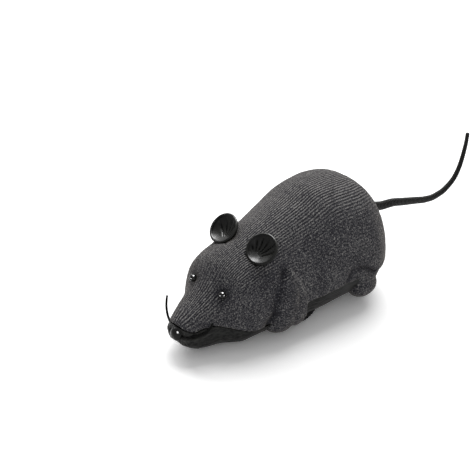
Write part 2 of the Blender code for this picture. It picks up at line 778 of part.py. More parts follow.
def tail_root():
    """Return where the tail starts and the way it leaves the rump."""
    return tail_point(0), (tail_point(1 / (2 * TAIL_RIBS)) - tail_point(0)).normalized()


def even_points(count):
    """Return points at even distances along the tail."""
    fine = [tail_point(k / (8 * count)) for k in range(8 * count + 1)]
    run = [0.0]
    for one, two in zip(fine, fine[1:]):
        run.append(run[-1] + (two - one).length)
    targets = [run[-1] * k / count for k in range(count + 1)]
    return [Vector([float(np.interp(t, run, [p[axis] for p in fine])) for axis in range(3)]) for t in targets]


def tail():
    """Return the ribbed rubber tail with the flange that holds it inside the shell."""
    count = 2 * TAIL_RIBS
    points = even_points(count)
    radii = []
    for k in range(count + 1):
        radius = TAIL_ROOT_RADIUS + (TAIL_TIP_RADIUS - TAIL_ROOT_RADIUS) * k / count
        radii.append(radius - (TAIL_RIB_DEPTH * radius / TAIL_ROOT_RADIUS if k % 2 else 0))
    start, way = tail_root()
    flange = [start - way * TAIL_FLANGE_THICKNESS, start]
    points = flange + [start + way * RUN_GAP] + points[1:]
    radii = [TAIL_FLANGE_RADIUS] * 2 + [TAIL_ROOT_RADIUS] + radii[1:]
    return swept(points, radii, TAIL_SIDES, "tail", SOFT_BLACK)


def tail_hole():
    """Return the cutter for the tail's hole in the rump."""
    start, way = tail_root()
    reach = BODY_LENGTH - (NOSE_X - start.x)
    return rod(start, start + way * (2 * reach), TAIL_ROOT_RADIUS + SEAT_GAP, 16)


# Shell

def body_shell():
    """Return the flocked shell with its limbs, posts, sockets and tail hole."""
    shell = cut(body_loft(0, 0, 0, 0, 0), seam_block(False, 0))
    unite(shell, cut(limbs(), gathered(wheel_slot(1), wheel_slot(-1))))
    wall = SHELL_WALL
    inside = body_loft(wall, wall, wall, wall, wall, CAVITY_START_SHARE, INNER_RINGS, INNER_SIDES)
    start, way = tail_root()
    collar = start + way * SEAT_GAP
    kept = [rod(collar, collar + way * TAIL_COLLAR_RUN, TAIL_FLANGE_RADIUS + SHELL_WALL / 2, 16)]
    holes = [tail_hole(), nose_form(SEAT_GAP)]
    for back, side, foot in post_places():
        kept.append(rod(at(back, side, foot), at(back, side, BODY_HEIGHT), POST_RADIUS, 16))
        pilot = at(back, side, foot + SCREW_GRIP)
        holes.append(rod(at(back, side, -CUT_OVERRUN), pilot, SCREW_RADIUS + RUN_GAP, SCREW_SIDES))
    for side in (1, -1):
        holes += [eye_form(side, SEAT_GAP, CUT_OVERRUN), ear_peg(side, RUN_GAP, CUT_OVERRUN), whisker_hole(side)]
    cut(shell, cut(inside, gathered(*kept)), gathered(*holes))
    return dress(shell, "body_shell", FLOCK)


# Gear train places and shapes

def axle_place():
    """Return the x and z of the wheel axles."""
    return NOSE_X - AXLE_BACK, WHEEL_RADIUS


def compound_place(side):
    """Return the x and z of the compound gear, ahead of the axle on the left, behind on the right."""
    x, z = axle_place()
    reach = GEAR_MODULE * (DRIVE_TEETH + SMALL_TEETH) / 2
    return x + side * reach * math.sin(COMPOUND_LEAN), z + reach * math.cos(COMPOUND_LEAN)


def motor_place(side):
    """Return the x and z of the motor's shaft."""
    x, z = compound_place(side)
    reach = GEAR_MODULE * (BIG_TEETH + PINION_TEETH) / 2
    return x + side * reach * math.sin(MOTOR_LEAN), z + reach * math.cos(MOTOR_LEAN)


BIG_LAYER = PLATE_SIDE + PLATE_THICKNESS + LAYER_GAP
DRIVE_LAYER = BIG_LAYER + GEAR_WIDTH + SEAT_GAP
OUTER_PLATE = DRIVE_LAYER + GEAR_WIDTH + LAYER_GAP
WHEEL_SIDE = OUTER_PLATE + PLATE_THICKNESS + LAYER_GAP
WHEEL_OUTSIDE = WHEEL_SIDE + WHEEL_WIDTH
HUB_RADIUS = WHEEL_RADIUS - TYRE_DEPTH


def gear_outline(place, teeth, phase):
    """Return a spur gear's (x, z) outline, with one tooth pointing along the phase angle."""
    pitch = GEAR_MODULE * teeth / 2
    tip = pitch + ADDENDUM_SHARE * GEAR_MODULE
    root = pitch - DEDENDUM_SHARE * GEAR_MODULE
    half = math.pi / teeth
    corners = ((root, -TOOTH_ROOT_SHARE), (tip, -TOOTH_TIP_SHARE), (tip, TOOTH_TIP_SHARE), (root, TOOTH_ROOT_SHARE))
    outline = []
    for tooth in range(teeth):
        middle = phase + math.tau * tooth / teeth
        for radius, share in corners:
            angle = middle + share * half
            outline.append((place[0] + radius * math.cos(angle), place[1] + radius * math.sin(angle)))
    return outline


def angle_to(start, end):
    """Return the angle in the XZ plane from one place to another."""
    return math.atan2(end[1] - start[1], end[0] - start[0])


def on_side(place, side, distance):
    """Return a point at a distance from the middle plane, on one side."""
    return Vector((place[0], side * distance, place[1]))


def drive_gear(side, name):
    """Return the gear pressed on the wheel's axle."""
    place = axle_place()
    phase = angle_to(place, compound_place(side))
    outlines = [gear_outline(place, DRIVE_TEETH, phase), circle(*place, AXLE_RADIUS + RUN_GAP)]
    origin = on_side(place, side, 0)
    start, end = side * DRIVE_LAYER, side * (DRIVE_LAYER + GEAR_WIDTH)
    return plate(outlines, start, end, name, WHITE_NYLON, origin)


def compound_gear(side, name):
    """Return the moulded double gear between the motor's pinion and the drive gear."""
    place = compound_place(side)
    origin = on_side(place, side, 0)
    big_phase = angle_to(place, motor_place(side))
    small_phase = angle_to(place, axle_place()) + math.pi / SMALL_TEETH
    bore = circle(*place, PIN_RADIUS + RUN_GAP)
    big = plate([gear_outline(place, BIG_TEETH, big_phase), bore],
                side * BIG_LAYER, side * (BIG_LAYER + GEAR_WIDTH), name, WHITE_NYLON, origin)
    lap = GEAR_WIDTH / 2
    small = plate([gear_outline(place, SMALL_TEETH, small_phase), bore],
                  side * (BIG_LAYER + lap), side * (DRIVE_LAYER + GEAR_WIDTH))
    unite(big, small)
    return dress(big, name, WHITE_NYLON)


def compound_pin(side, name):
    """Return the steel pin that the double gear turns on."""
    place = compound_place(side)
    start = on_side(place, side, PLATE_SIDE)
    end = on_side(place, side, OUTER_PLATE + PLATE_THICKNESS)
    return rod(start, end, PIN_RADIUS, BORE_SIDES, name, STEEL)


def motor_pinion(side, name):
    """Return the brass pinion on the motor's shaft."""
    place = motor_place(side)
    phase = angle_to(place, compound_place(side)) + math.pi / PINION_TEETH
    outlines = [gear_outline(place, PINION_TEETH, phase), circle(*place, SHAFT_RADIUS + RUN_GAP)]
    origin = on_side(place, side, 0)
    return plate(outlines, side * BIG_LAYER, side * (BIG_LAYER + GEAR_WIDTH), name, BRASS, origin)


def motor_shaft(side, name):
    """Return the motor's steel shaft."""
    place = motor_place(side)
    front = PLATE_SIDE - SEAT_GAP
    start = on_side(place, side, front - SHAFT_DEPTH + SEAT_GAP)
    end = on_side(place, side, BIG_LAYER + GEAR_WIDTH)
    return rod(start, end, SHAFT_RADIUS, BORE_SIDES, name, STEEL, on_side(place, side, 0))


def motor_can(side, name):
    """Return the motor's steel can with its front boss and shaft bore."""
    place = motor_place(side)
    front = PLATE_SIDE - SEAT_GAP
    bore = SHAFT_RADIUS + RUN_GAP
    profile = ((0, 0), (MOTOR_RADIUS, 0), (MOTOR_RADIUS, MOTOR_LENGTH), (MOTOR_BOSS_RADIUS, MOTOR_LENGTH),
               (MOTOR_BOSS_RADIUS, MOTOR_LENGTH + MOTOR_BOSS_LENGTH), (bore, MOTOR_LENGTH + MOTOR_BOSS_LENGTH),
               (bore, MOTOR_LENGTH - SHAFT_DEPTH), (0, MOTOR_LENGTH - SHAFT_DEPTH))
    start = on_side(place, side, front - MOTOR_LENGTH)
    return turned(profile, start, (0, side, 0), MOTOR_SIDES, name, STEEL)


def motor_cap(side, name):
    """Return the plastic end cap that carries the motor's brushes."""
    place = motor_place(side)
    end = on_side(place, side, PLATE_SIDE - 2 * SEAT_GAP - MOTOR_LENGTH)
    start = end - Vector((0, side * MOTOR_CAP_LENGTH, 0))
    return rod(start, end, MOTOR_CAP_RADIUS, MOTOR_SIDES, name, WHITE_NYLON)


def wheel_axle(side, name):
    """Return the steel axle of one wheel."""
    place = axle_place()
    start = on_side(place, side, PLATE_SIDE)
    end = on_side(place, side, WHEEL_OUTSIDE)
    return rod(start, end, AXLE_RADIUS, BORE_SIDES, name, STEEL, on_side(place, side, 0))


def wheel_hub(side, name):
    """Return the wheel's hub: a rim, a web and a boss round the axle."""
    bore = AXLE_RADIUS + RUN_GAP
    middle = WHEEL_WIDTH / 2
    inner, outer = middle - HUB_WEB / 2, middle + HUB_WEB / 2
    rim = HUB_RADIUS - SEAT_GAP - HUB_RIM
    profile = ((bore, 0), (HUB_BOSS_RADIUS, 0), (HUB_BOSS_RADIUS, inner), (rim, inner), (rim, 0),
               (rim + HUB_RIM, 0), (rim + HUB_RIM, WHEEL_WIDTH), (rim, WHEEL_WIDTH), (rim, outer),
               (HUB_BOSS_RADIUS, outer), (HUB_BOSS_RADIUS, WHEEL_WIDTH), (bore, WHEEL_WIDTH))
    start = on_side(axle_place(), side, WHEEL_SIDE)
    origin = on_side(axle_place(), side, 0)
    return turned(profile, start, (0, side, 0), HUB_SIDES, name, BLACK_PLASTIC, origin, ring=True)


def tyre(side, name):
    """Return the rubber tyre of one wheel."""
    profile = ((HUB_RADIUS, 0), (WHEEL_RADIUS - TYRE_CHAMFER, 0), (WHEEL_RADIUS, TYRE_CHAMFER),
               (WHEEL_RADIUS, WHEEL_WIDTH - TYRE_CHAMFER), (WHEEL_RADIUS - TYRE_CHAMFER, WHEEL_WIDTH),
               (HUB_RADIUS, WHEEL_WIDTH))
    start = on_side(axle_place(), side, WHEEL_SIDE)
    origin = on_side(axle_place(), side, 0)
    return turned(profile, start, (0, side, 0), WHEEL_SIDES, name, TYRE_RUBBER, origin, ring=True)


def floor_height():
    """Return the height of the chassis's inner floor under the drive."""
    return BELLY_HEIGHT + CHASSIS_WALL


def plate_outline(side, front, back, top):
    """Return a gearbox plate's outline between two distances from the axle."""
    x, _ = axle_place()
    foot = floor_height() + 2 * SEAT_GAP
    ahead, behind = x + side * front, x - side * back
    lip = side * PLATE_CHAMFER
    return [(ahead, foot), (ahead, top - PLATE_CHAMFER), (ahead - lip, top),
            (behind + lip, top), (behind, top - PLATE_CHAMFER), (behind, foot)]


def spacer_places(side):
    """Return the two places, clear of the gears, where spacers join the gearbox plates."""
    x, z = axle_place()
    _, compound_z = compound_place(side)
    drive_tip = GEAR_MODULE * DRIVE_TEETH / 2 + SPACER_MARGIN
    return [(x - side * (drive_tip - SPACER_RADIUS), compound_z + SPACER_MARGIN),
            (x + side * (drive_tip + SPACER_RADIUS), z - SPACER_MARGIN)]


def gearbox_plate(side, name):
    """Return the inner gearbox plate, which holds the motor, with its two spacers."""
    motor = motor_place(side)
    front = abs(motor[0] - axle_place()[0]) + PLATE_MARGIN
    outline = plate_outline(side, front, PLATE_MARGIN, motor[1] + PLATE_MARGIN)
    holes = [circle(*motor, MOTOR_BOSS_RADIUS + SEAT_GAP, 20), circle(*compound_place(side), PIN_RADIUS + RUN_GAP),
             circle(*axle_place(), AXLE_RADIUS + RUN_GAP)]
    start, end = side * PLATE_SIDE, side * (PLATE_SIDE + PLATE_THICKNESS)
    item = plate([outline, *holes], start, end)
    for place in spacer_places(side):
        foot = on_side(place, side, PLATE_SIDE + PLATE_THICKNESS / 2)
        unite(item, rod(foot, on_side(place, side, OUTER_PLATE - SEAT_GAP), SPACER_RADIUS, BORE_SIDES))
    return dress(item, name, GREY_NYLON)


def gearbox_cover(side, name):
    """Return the outer gearbox plate, beside the wheel."""
    compound = compound_place(side)
    front = abs(compound[0] - axle_place()[0]) + PLATE_MARGIN
    outline = plate_outline(side, front, PLATE_MARGIN, compound[1] + PLATE_MARGIN)
    holes = [circle(*compound, PIN_RADIUS + RUN_GAP), circle(*axle_place(), AXLE_RADIUS + RUN_GAP)]
    start, end = side * OUTER_PLATE, side * (OUTER_PLATE + PLATE_THICKNESS)
    return plate([outline, *holes], start, end, name, GREY_NYLON)


# Caster

RECESS_ROOF = 2 * CASTER_WHEEL_RADIUS + 2 * SEAT_GAP + FORK_DISC_THICKNESS
STEM_BOSS_TOP = RECESS_ROOF + RECESS_WALL + STEM_BOSS_HEIGHT


def caster_wheel():
    """Return the small front wheel."""
    centre = at(CASTER_BACK + CASTER_TRAIL, 0, CASTER_WHEEL_RADIUS)
    bore = CASTER_PIN_RADIUS + RUN_GAP
    width = 2 * CASTER_WHEEL_HALF
    edge = TYRE_CHAMFER
    profile = ((bore, 0), (CASTER_WHEEL_RADIUS - edge, 0), (CASTER_WHEEL_RADIUS, edge),
               (CASTER_WHEEL_RADIUS, width - edge), (CASTER_WHEEL_RADIUS - edge, width), (bore, width))
    start = centre - Vector((0, CASTER_WHEEL_HALF, 0))
    return turned(profile, start, (0, 1, 0), CASTER_SIDES, "caster_wheel", BLACK_PLASTIC, centre, ring=True)


def caster_pin():
    """Return the pin of the front wheel."""
    centre = at(CASTER_BACK + CASTER_TRAIL, 0, CASTER_WHEEL_RADIUS)
    reach = Vector((0, CASTER_WHEEL_HALF + SEAT_GAP + FORK_ARM, 0))
    return rod(centre - reach, centre + reach, CASTER_PIN_RADIUS, BORE_SIDES, "caster_pin", STEEL, centre)


def caster_fork():
    """Return the fork: a disc with a stem above it and two arms down to the pin."""
    disc_foot = 2 * CASTER_WHEEL_RADIUS + SEAT_GAP
    disc_top = disc_foot + FORK_DISC_THICKNESS
    stem_top = STEM_BOSS_TOP + SEAT_GAP + CAP_THICKNESS
    profile = ((0, disc_foot), (FORK_DISC_RADIUS, disc_foot), (FORK_DISC_RADIUS, disc_top),
               (STEM_RADIUS, disc_top), (STEM_RADIUS, stem_top), (0, stem_top))
    fork = turned(profile, at(CASTER_BACK), (0, 0, 1), CASTER_SIDES, "caster_fork", BLACK_PLASTIC, at(CASTER_BACK))
    pin_back = CASTER_BACK + CASTER_TRAIL
    for side in (1, -1):
        inner = side * (CASTER_WHEEL_HALF + SEAT_GAP)
        outer = side * (CASTER_WHEEL_HALF + SEAT_GAP + FORK_ARM)
        low = at(pin_back + FORK_ARM_HALF, inner, CASTER_WHEEL_RADIUS - FORK_ARM_HALF)
        high = at(pin_back - FORK_ARM_HALF, outer, disc_foot + FORK_DISC_THICKNESS / 2)
        unite(fork, box(low, high))
    reach = Vector((0, FORK_DISC_RADIUS, 0))
    centre = at(pin_back, 0, CASTER_WHEEL_RADIUS)
    cut(fork, rod(centre - reach, centre + reach, CASTER_PIN_RADIUS + RUN_GAP, BORE_SIDES))
    return dress(fork, "caster_fork", BLACK_PLASTIC)


def caster_cap():
    """Return the cap on the stem's end, which keeps the caster in the chassis."""
    foot = STEM_BOSS_TOP + SEAT_GAP
    bore = STEM_RADIUS + RUN_GAP
    profile = ((bore, foot), (CAP_RADIUS, foot), (CAP_RADIUS, foot + CAP_THICKNESS), (bore, foot + CAP_THICKNESS))
    start = at(CASTER_BACK)
    return turned(profile, start, (0, 0, 1), CASTER_SIDES, "caster_cap", WHITE_NYLON, start, ring=True)


# Battery bay

BAY_HALF_WIDTH = (CELL_LENGTH + CELL_NUB_LENGTH + SPRING_LENGTH + 3 * SEAT_GAP) / 2 + CONTACT_THICKNESS
BAY_HALF_LENGTH = CELL_SPACING / 2 + CELL_RADIUS + 2 * SEAT_GAP
BAY_ROOF = CELL_HEIGHT + CELL_RADIUS + SEAT_GAP
BAY_FRONT = CELLS_BACK - BAY_HALF_LENGTH
BAY_REAR = CELLS_BACK + BAY_HALF_LENGTH
CONTACT_SIDE = BAY_HALF_WIDTH - SEAT_GAP - CONTACT_THICKNESS
DOOR_SCREW_BACK = BAY_FRONT - DOOR_TAB_REACH / 2


def cell_back(row):
    """Return the distance behind the nose of the front (-1) or rear (1) cell."""
    return CELLS_BACK + row * CELL_SPACING / 2


def battery_cell(row, name):
    """Return one cell; the front one's nub points left and the rear one's right."""
    nub_side = -row
    flat = CONTACT_SIDE - SEAT_GAP - CELL_NUB_LENGTH - CELL_LENGTH
    profile = ((0, 0), (CELL_RADIUS, 0), (CELL_RADIUS, CELL_LENGTH), (CELL_NUB_RADIUS, CELL_LENGTH),
               (CELL_NUB_RADIUS, CELL_LENGTH + CELL_NUB_LENGTH), (0, CELL_LENGTH + CELL_NUB_LENGTH))
    start = at(cell_back(row), nub_side * flat, CELL_HEIGHT)
    return turned(profile, start, (0, nub_side, 0), CELL_SIDES, name, CELL_JACKET)


def contact_box(front, rear, side, name):
    """Return a flat contact plate against one end wall of the bay."""
    low = at(rear, side * CONTACT_SIDE, CELL_HEIGHT - CONTACT_HALF)
    high = at(front, side * (CONTACT_SIDE + CONTACT_THICKNESS), CELL_HEIGHT + CONTACT_HALF)
    return box(low, high, name, STEEL)


def contacts():
    """Return the link plate on the left and the two end plates on the right."""
    front, rear = cell_back(-1), cell_back(1)
    contact_box(front - CONTACT_HALF, rear + CONTACT_HALF, 1, "contact_link")
    contact_box(front - CONTACT_HALF, front + CONTACT_HALF, -1, "negative_contact")
    contact_box(rear - CONTACT_HALF, rear + CONTACT_HALF, -1, "positive_contact")


def battery_spring(row, name):
    """Return the conical spring that presses on a cell's flat end."""
    side = row
    flat = CONTACT_SIDE - SEAT_GAP - CELL_NUB_LENGTH - CELL_LENGTH
    wide = CONTACT_SIDE - SEAT_GAP - SPRING_WIRE
    narrow = -flat + SEAT_GAP + SPRING_WIRE
    count = SPRING_TURNS * SPRING_POINTS
    points = []
    for k in range(count + 1):
        t = k / count
        radius = SPRING_LARGE + (SPRING_SMALL - SPRING_LARGE) * t
        angle = math.tau * SPRING_TURNS * t
        place = at(cell_back(row), side * (wide + (narrow - wide) * t), CELL_HEIGHT)
        points.append(place + Vector((radius * math.cos(angle), 0, radius * math.sin(angle))))
    return swept(points, [SPRING_WIRE] * len(points), 4, name, STEEL)


def door_shape(margin):
    """Return the upright block that bounds the battery door, drawn in by a margin."""
    low = at(BAY_REAR - margin, -BAY_HALF_WIDTH + margin, -CUT_OVERRUN)
    high = at(BAY_FRONT + margin, BAY_HALF_WIDTH - margin, CELL_HEIGHT - CELL_RADIUS)
    block = box(low, high)
    tab_low = at(BAY_FRONT + 2 * margin + BAY_WALL, -DOOR_TAB_HALF + margin, -CUT_OVERRUN)
    tab_high = at(BAY_FRONT - DOOR_TAB_REACH + margin, DOOR_TAB_HALF - margin, floor_height() + margin)
    return unite(block, box(tab_low, tab_high))


def battery_door():
    """Return the curved door over the cells, with its screw tab."""
    door = body_loft(SKIRT_INSET, JAW_INSET, 0, 0, 0)
    cut(door, chassis_cavity())
    boolean(door, door_shape(SEAT_GAP), "INTERSECT")
    cut(door, screw_room(DOOR_SCREW_BACK, 0, belly_at(DOOR_SCREW_BACK) + SCREW_HEAD_HEIGHT / 2, BODY_HEIGHT))
    return dress(door, "battery_door", BLACK_PLASTIC)


def screw_room(back, side, seat, top):
    """Return the cutter for a screw's sunk head below its seat and its shank above."""
    sink, shank = SCREW_HEAD_RADIUS + SEAT_GAP, SCREW_RADIUS + RUN_GAP
    profile = ((0, -CUT_OVERRUN), (sink, -CUT_OVERRUN), (sink, seat), (shank, seat), (shank, top), (0, top))
    return turned(profile, at(back, side), (0, 0, 1), SCREW_SIDES)


def screw(back, side, head_foot, length, name="tool", finish=None):
    """Return a pan-head screw that points up from a given height of its head."""
    profile = ((0, 0), (SCREW_HEAD_RADIUS, 0), (SCREW_HEAD_RADIUS, SCREW_HEAD_HEIGHT),
               (SCREW_RADIUS, SCREW_HEAD_HEIGHT), (SCREW_RADIUS, length), (0, length))
    return turned(profile, at(back, side, head_foot), (0, 0, 1), SCREW_SIDES, name, finish)


def door_screw():
    """Return the screw of the battery door."""
    seat = belly_at(DOOR_SCREW_BACK) + SCREW_HEAD_HEIGHT / 2
    head_foot = seat - SEAT_GAP - SCREW_HEAD_HEIGHT
    return screw(DOOR_SCREW_BACK, 0, head_foot, SCREW_HEAD_HEIGHT + DOOR_SCREW_LENGTH, "door_screw", STEEL)


def case_screw(back, side, foot, name):
    """Return one of the four screws between chassis and shell."""
    head_foot = screw_seat(back) - SEAT_GAP - SCREW_HEAD_HEIGHT
    length = foot + SCREW_GRIP - SEAT_GAP - head_foot
    return screw(back, side, head_foot, length, name, STEEL)


# Circuit board

BOARD_FOOT = BAY_ROOF + BAY_WALL + BOARD_STANDOFF + SEAT_GAP
BOARD_TOP = BOARD_FOOT + BOARD_THICKNESS


def standoff_places():
    """Return the four places under the board's corners."""
    reach, spread = BOARD_HALF_LENGTH - STANDOFF_MARGIN, BOARD_HALF_WIDTH - STANDOFF_MARGIN
    return [(CELLS_BACK + a * reach, b * spread) for a in (1, -1) for b in (1, -1)]


def circuit_board():
    """Return the board on its four standoffs."""
    low = at(CELLS_BACK + BOARD_HALF_LENGTH, -BOARD_HALF_WIDTH, BOARD_FOOT)
    high = at(CELLS_BACK - BOARD_HALF_LENGTH, BOARD_HALF_WIDTH, BOARD_TOP)
    return box(low, high, "circuit_board", BOARD_GREEN)


def board_parts():
    """Return the radio chip, the crystal and the capacitor on the board."""
    foot = BOARD_TOP + SEAT_GAP
    low = at(CELLS_BACK + CHIP_HALF, -CHIP_HALF, foot)
    high = at(CELLS_BACK - CHIP_HALF, CHIP_HALF, foot + CHIP_THICKNESS)
    box(low, high, "radio_chip", BLACK_PLASTIC)
    middle = BOARD_HALF_WIDTH - 2 * CRYSTAL_HALF_WIDTH
    low = at(CELLS_BACK + CRYSTAL_HALF_LENGTH, middle - CRYSTAL_HALF_WIDTH, foot)
    high = at(CELLS_BACK - CRYSTAL_HALF_LENGTH, middle + CRYSTAL_HALF_WIDTH, foot + CRYSTAL_HEIGHT)
    box(low, high, "crystal", STEEL)
    place = at(CELLS_BACK + BOARD_HALF_LENGTH / 2, -BOARD_HALF_WIDTH + 2 * CAPACITOR_RADIUS, foot)
    rod(place, place + Vector((0, 0, CAPACITOR_HEIGHT)), CAPACITOR_RADIUS, 16, "capacitor", CELL_JACKET)


def arc_points(start, end, lift, count=8):
    """Return points on a smooth arch from one place up and over to another."""
    points = []
    for k in range(count + 1):
        t = k / count
        ease = t * t * (3 - 2 * t)
        point = start.lerp(end, ease)
        points.append(point + Vector((0, 0, lift * 4 * t * (1 - t))))
    return points


def motor_lead(side, name):
    """Return the joined pair of wires from a motor's cap to the board."""
    x, z = motor_place(side)
    cap = PLATE_SIDE - 2 * SEAT_GAP - MOTOR_LENGTH - MOTOR_CAP_LENGTH
    pair = []
    for half in (1, -1):
        apart = Vector((half * WIRE_RADIUS * WIRE_PAIR_SHARE, 0, 0))
        start = Vector((x, side * (cap - SEAT_GAP - WIRE_RADIUS), z + MOTOR_CAP_RADIUS / 2)) + apart
        end = at(CELLS_BACK - BOARD_HALF_LENGTH + 3 * WIRE_RADIUS, -side * BOARD_HALF_WIDTH / 2,
                 BOARD_TOP + SEAT_GAP + WIRE_RADIUS) + apart
        points = arc_points(start, end, WIRE_LIFT)
        pair.append(swept(points, [WIRE_RADIUS] * len(points), 6))
    return dress(unite(*pair), name, WIRE_RED)


def aerial_wire():
    """Return the receiving wire that rises from the board towards the head."""
    start = at(CELLS_BACK, -CHIP_HALF - 2 * WIRE_RADIUS, BOARD_TOP + SEAT_GAP)
    points = []
    for k in range(9):
        t = k / 8
        points.append(start + Vector((AERIAL_RUN * t * t, 0, AERIAL_RISE * math.sin(t * math.pi / 2))))
    return swept(points, [WIRE_RADIUS] * len(points), 6, "aerial_wire", SOFT_BLACK)


# Slide switch

SLIDER_REST = SWITCH_BACK + SWITCH_TRAVEL / 2


def switch_housing():
    """Return the switch's housing over its slot in the belly."""
    foot = floor_height() + SEAT_GAP
    low = at(SWITCH_BACK + SWITCH_HALF_LENGTH, -SWITCH_HALF_WIDTH, foot)
    high = at(SWITCH_BACK - SWITCH_HALF_LENGTH, SWITCH_HALF_WIDTH, foot + SWITCH_HEIGHT)
    housing = box(low, high)
    inner = SWITCH_HALF_LENGTH - SWITCH_WALL
    low = at(SWITCH_BACK + inner, -SWITCH_HALF_WIDTH + SWITCH_WALL, foot - CUT_OVERRUN)
    high = at(SWITCH_BACK - inner, SWITCH_HALF_WIDTH - SWITCH_WALL, foot + SWITCH_HEIGHT - SWITCH_WALL)
    return dress(cut(housing, box(low, high)), "switch_housing", GREY_NYLON)


def switch_slider():
    """Return the sliding knob, whose foot stands just below the belly."""
    flange_foot = floor_height() + 2 * SEAT_GAP
    low = at(SLIDER_REST + SLIDER_HALF_LENGTH, -SLIDER_HALF_WIDTH, flange_foot)
    high = at(SLIDER_REST - SLIDER_HALF_LENGTH, SLIDER_HALF_WIDTH, flange_foot + SLIDER_THICKNESS)
    slider = box(low, high)
    low = at(SLIDER_REST + KNOB_HALF_LENGTH, -KNOB_HALF_WIDTH, BELLY_HEIGHT - KNOB_DROP)
    high = at(SLIDER_REST - KNOB_HALF_LENGTH, KNOB_HALF_WIDTH, flange_foot + SLIDER_THICKNESS / 2)
    return dress(unite(slider, box(low, high)), "switch_slider", BLACK_PLASTIC)


# Chassis

def chassis_cavity():
    """Return the form of the hollow inside the chassis."""
    side = SKIRT_INSET + CHASSIS_WALL
    jaw = JAW_INSET + CHASSIS_WALL
    wall = CHASSIS_WALL
    return body_loft(side, jaw, wall, wall, wall, CAVITY_START_SHARE, INNER_RINGS, INNER_SIDES)


def chassis_inside():
    """Return the walls, bosses, saddles and standoffs that stand in the chassis."""
    bay_low = at(BAY_REAR + BAY_WALL, -BAY_HALF_WIDTH - BAY_WALL, BELLY_HEIGHT)
    bay_high = at(BAY_FRONT - BAY_WALL, BAY_HALF_WIDTH + BAY_WALL, BAY_ROOF + BAY_WALL)
    boss_low = at(BAY_FRONT, -DOOR_TAB_HALF, floor_height() + SEAT_GAP)
    boss_high = at(BAY_FRONT - DOOR_TAB_REACH, DOOR_TAB_HALF, floor_height() + SEAT_GAP + DOOR_BOSS_HEIGHT)
    top = BOARD_FOOT - SEAT_GAP
    standoffs = [rod(at(back, side, BAY_ROOF), at(back, side, top), STANDOFF_RADIUS, 12)
                 for back, side in standoff_places()]
    bay = unite(box(bay_low, bay_high), box(boss_low, boss_high), gathered(*standoffs))
    recess_top = RECESS_ROOF + RECESS_WALL
    housing = ((0, 0), (RECESS_RADIUS + RECESS_WALL, 0), (RECESS_RADIUS + RECESS_WALL, recess_top),
               (STEM_BOSS_RADIUS, recess_top), (STEM_BOSS_RADIUS, STEM_BOSS_TOP), (0, STEM_BOSS_TOP))
    others = [turned(housing, at(CASTER_BACK), (0, 0, 1), CASTER_SIDES)]
    for back, side, foot in post_places():
        others.append(rod(at(back, side), at(back, side, foot - SEAT_GAP), POST_RADIUS, 16))
    for side in (1, -1):
        x, z = motor_place(side)
        for start in (SADDLE_SIDE, -SADDLE_SIDE - SADDLE_THICKNESS):
            low = (x - SADDLE_HALF, start, BELLY_HEIGHT)
            high = (x + SADDLE_HALF, start + SADDLE_THICKNESS, z - SADDLE_DROP)
            others.append(box(low, high))
    guide = body_loft(SKIRT_INSET + CHASSIS_WALL / 2, JAW_INSET + CHASSIS_WALL / 2, CHASSIS_WALL,
                      CHASSIS_WALL / 2, CHASSIS_WALL / 2)
    return boolean(gathered(bay, *others), guide, "INTERSECT")


def wheel_slot(side):
    """Return the cutter for a wheel's slot in the belly."""
    x, _ = axle_place()
    half = WHEEL_RADIUS + SLOT_ROOM
    low = (x - half, side * (WHEEL_SIDE - LAYER_GAP), -CUT_OVERRUN)
    high = (x + half, side * (WHEEL_OUTSIDE + SLOT_ROOM), WHEEL_RADIUS)
    return box(low, high)


def skid():
    """Return the foot under the rump that keeps the tail end off the floor."""
    front, rear = SKID_BACK - SKID_HALF_LENGTH, SKID_BACK + SKID_HALF_LENGTH
    top = belly_at(rear) + CHASSIS_WALL
    outline = [(NOSE_X - front, 0), (NOSE_X - rear, 0), (NOSE_X - rear - SKID_TAPER, top),
               (NOSE_X - front + SKID_TAPER, top)]
    return plate([outline], -SKID_HALF_WIDTH, SKID_HALF_WIDTH)


def bay_room():
    """Return the cutter for the battery bay, the door's tab and the hole for its screw."""
    room = box(at(BAY_REAR, -BAY_HALF_WIDTH, -CUT_OVERRUN), at(BAY_FRONT, BAY_HALF_WIDTH, BAY_ROOF))
    tab_low = at(BAY_FRONT + BAY_WALL, -DOOR_TAB_HALF, -CUT_OVERRUN)
    tab_high = at(BAY_FRONT - DOOR_TAB_REACH, DOOR_TAB_HALF, floor_height() + SEAT_GAP / 2)
    top = belly_at(DOOR_SCREW_BACK) + SCREW_HEAD_HEIGHT / 2 + DOOR_SCREW_LENGTH
    pilot = rod(at(DOOR_SCREW_BACK), at(DOOR_SCREW_BACK, 0, top), SCREW_RADIUS + RUN_GAP, SCREW_SIDES)
    return unite(room, box(tab_low, tab_high), pilot)


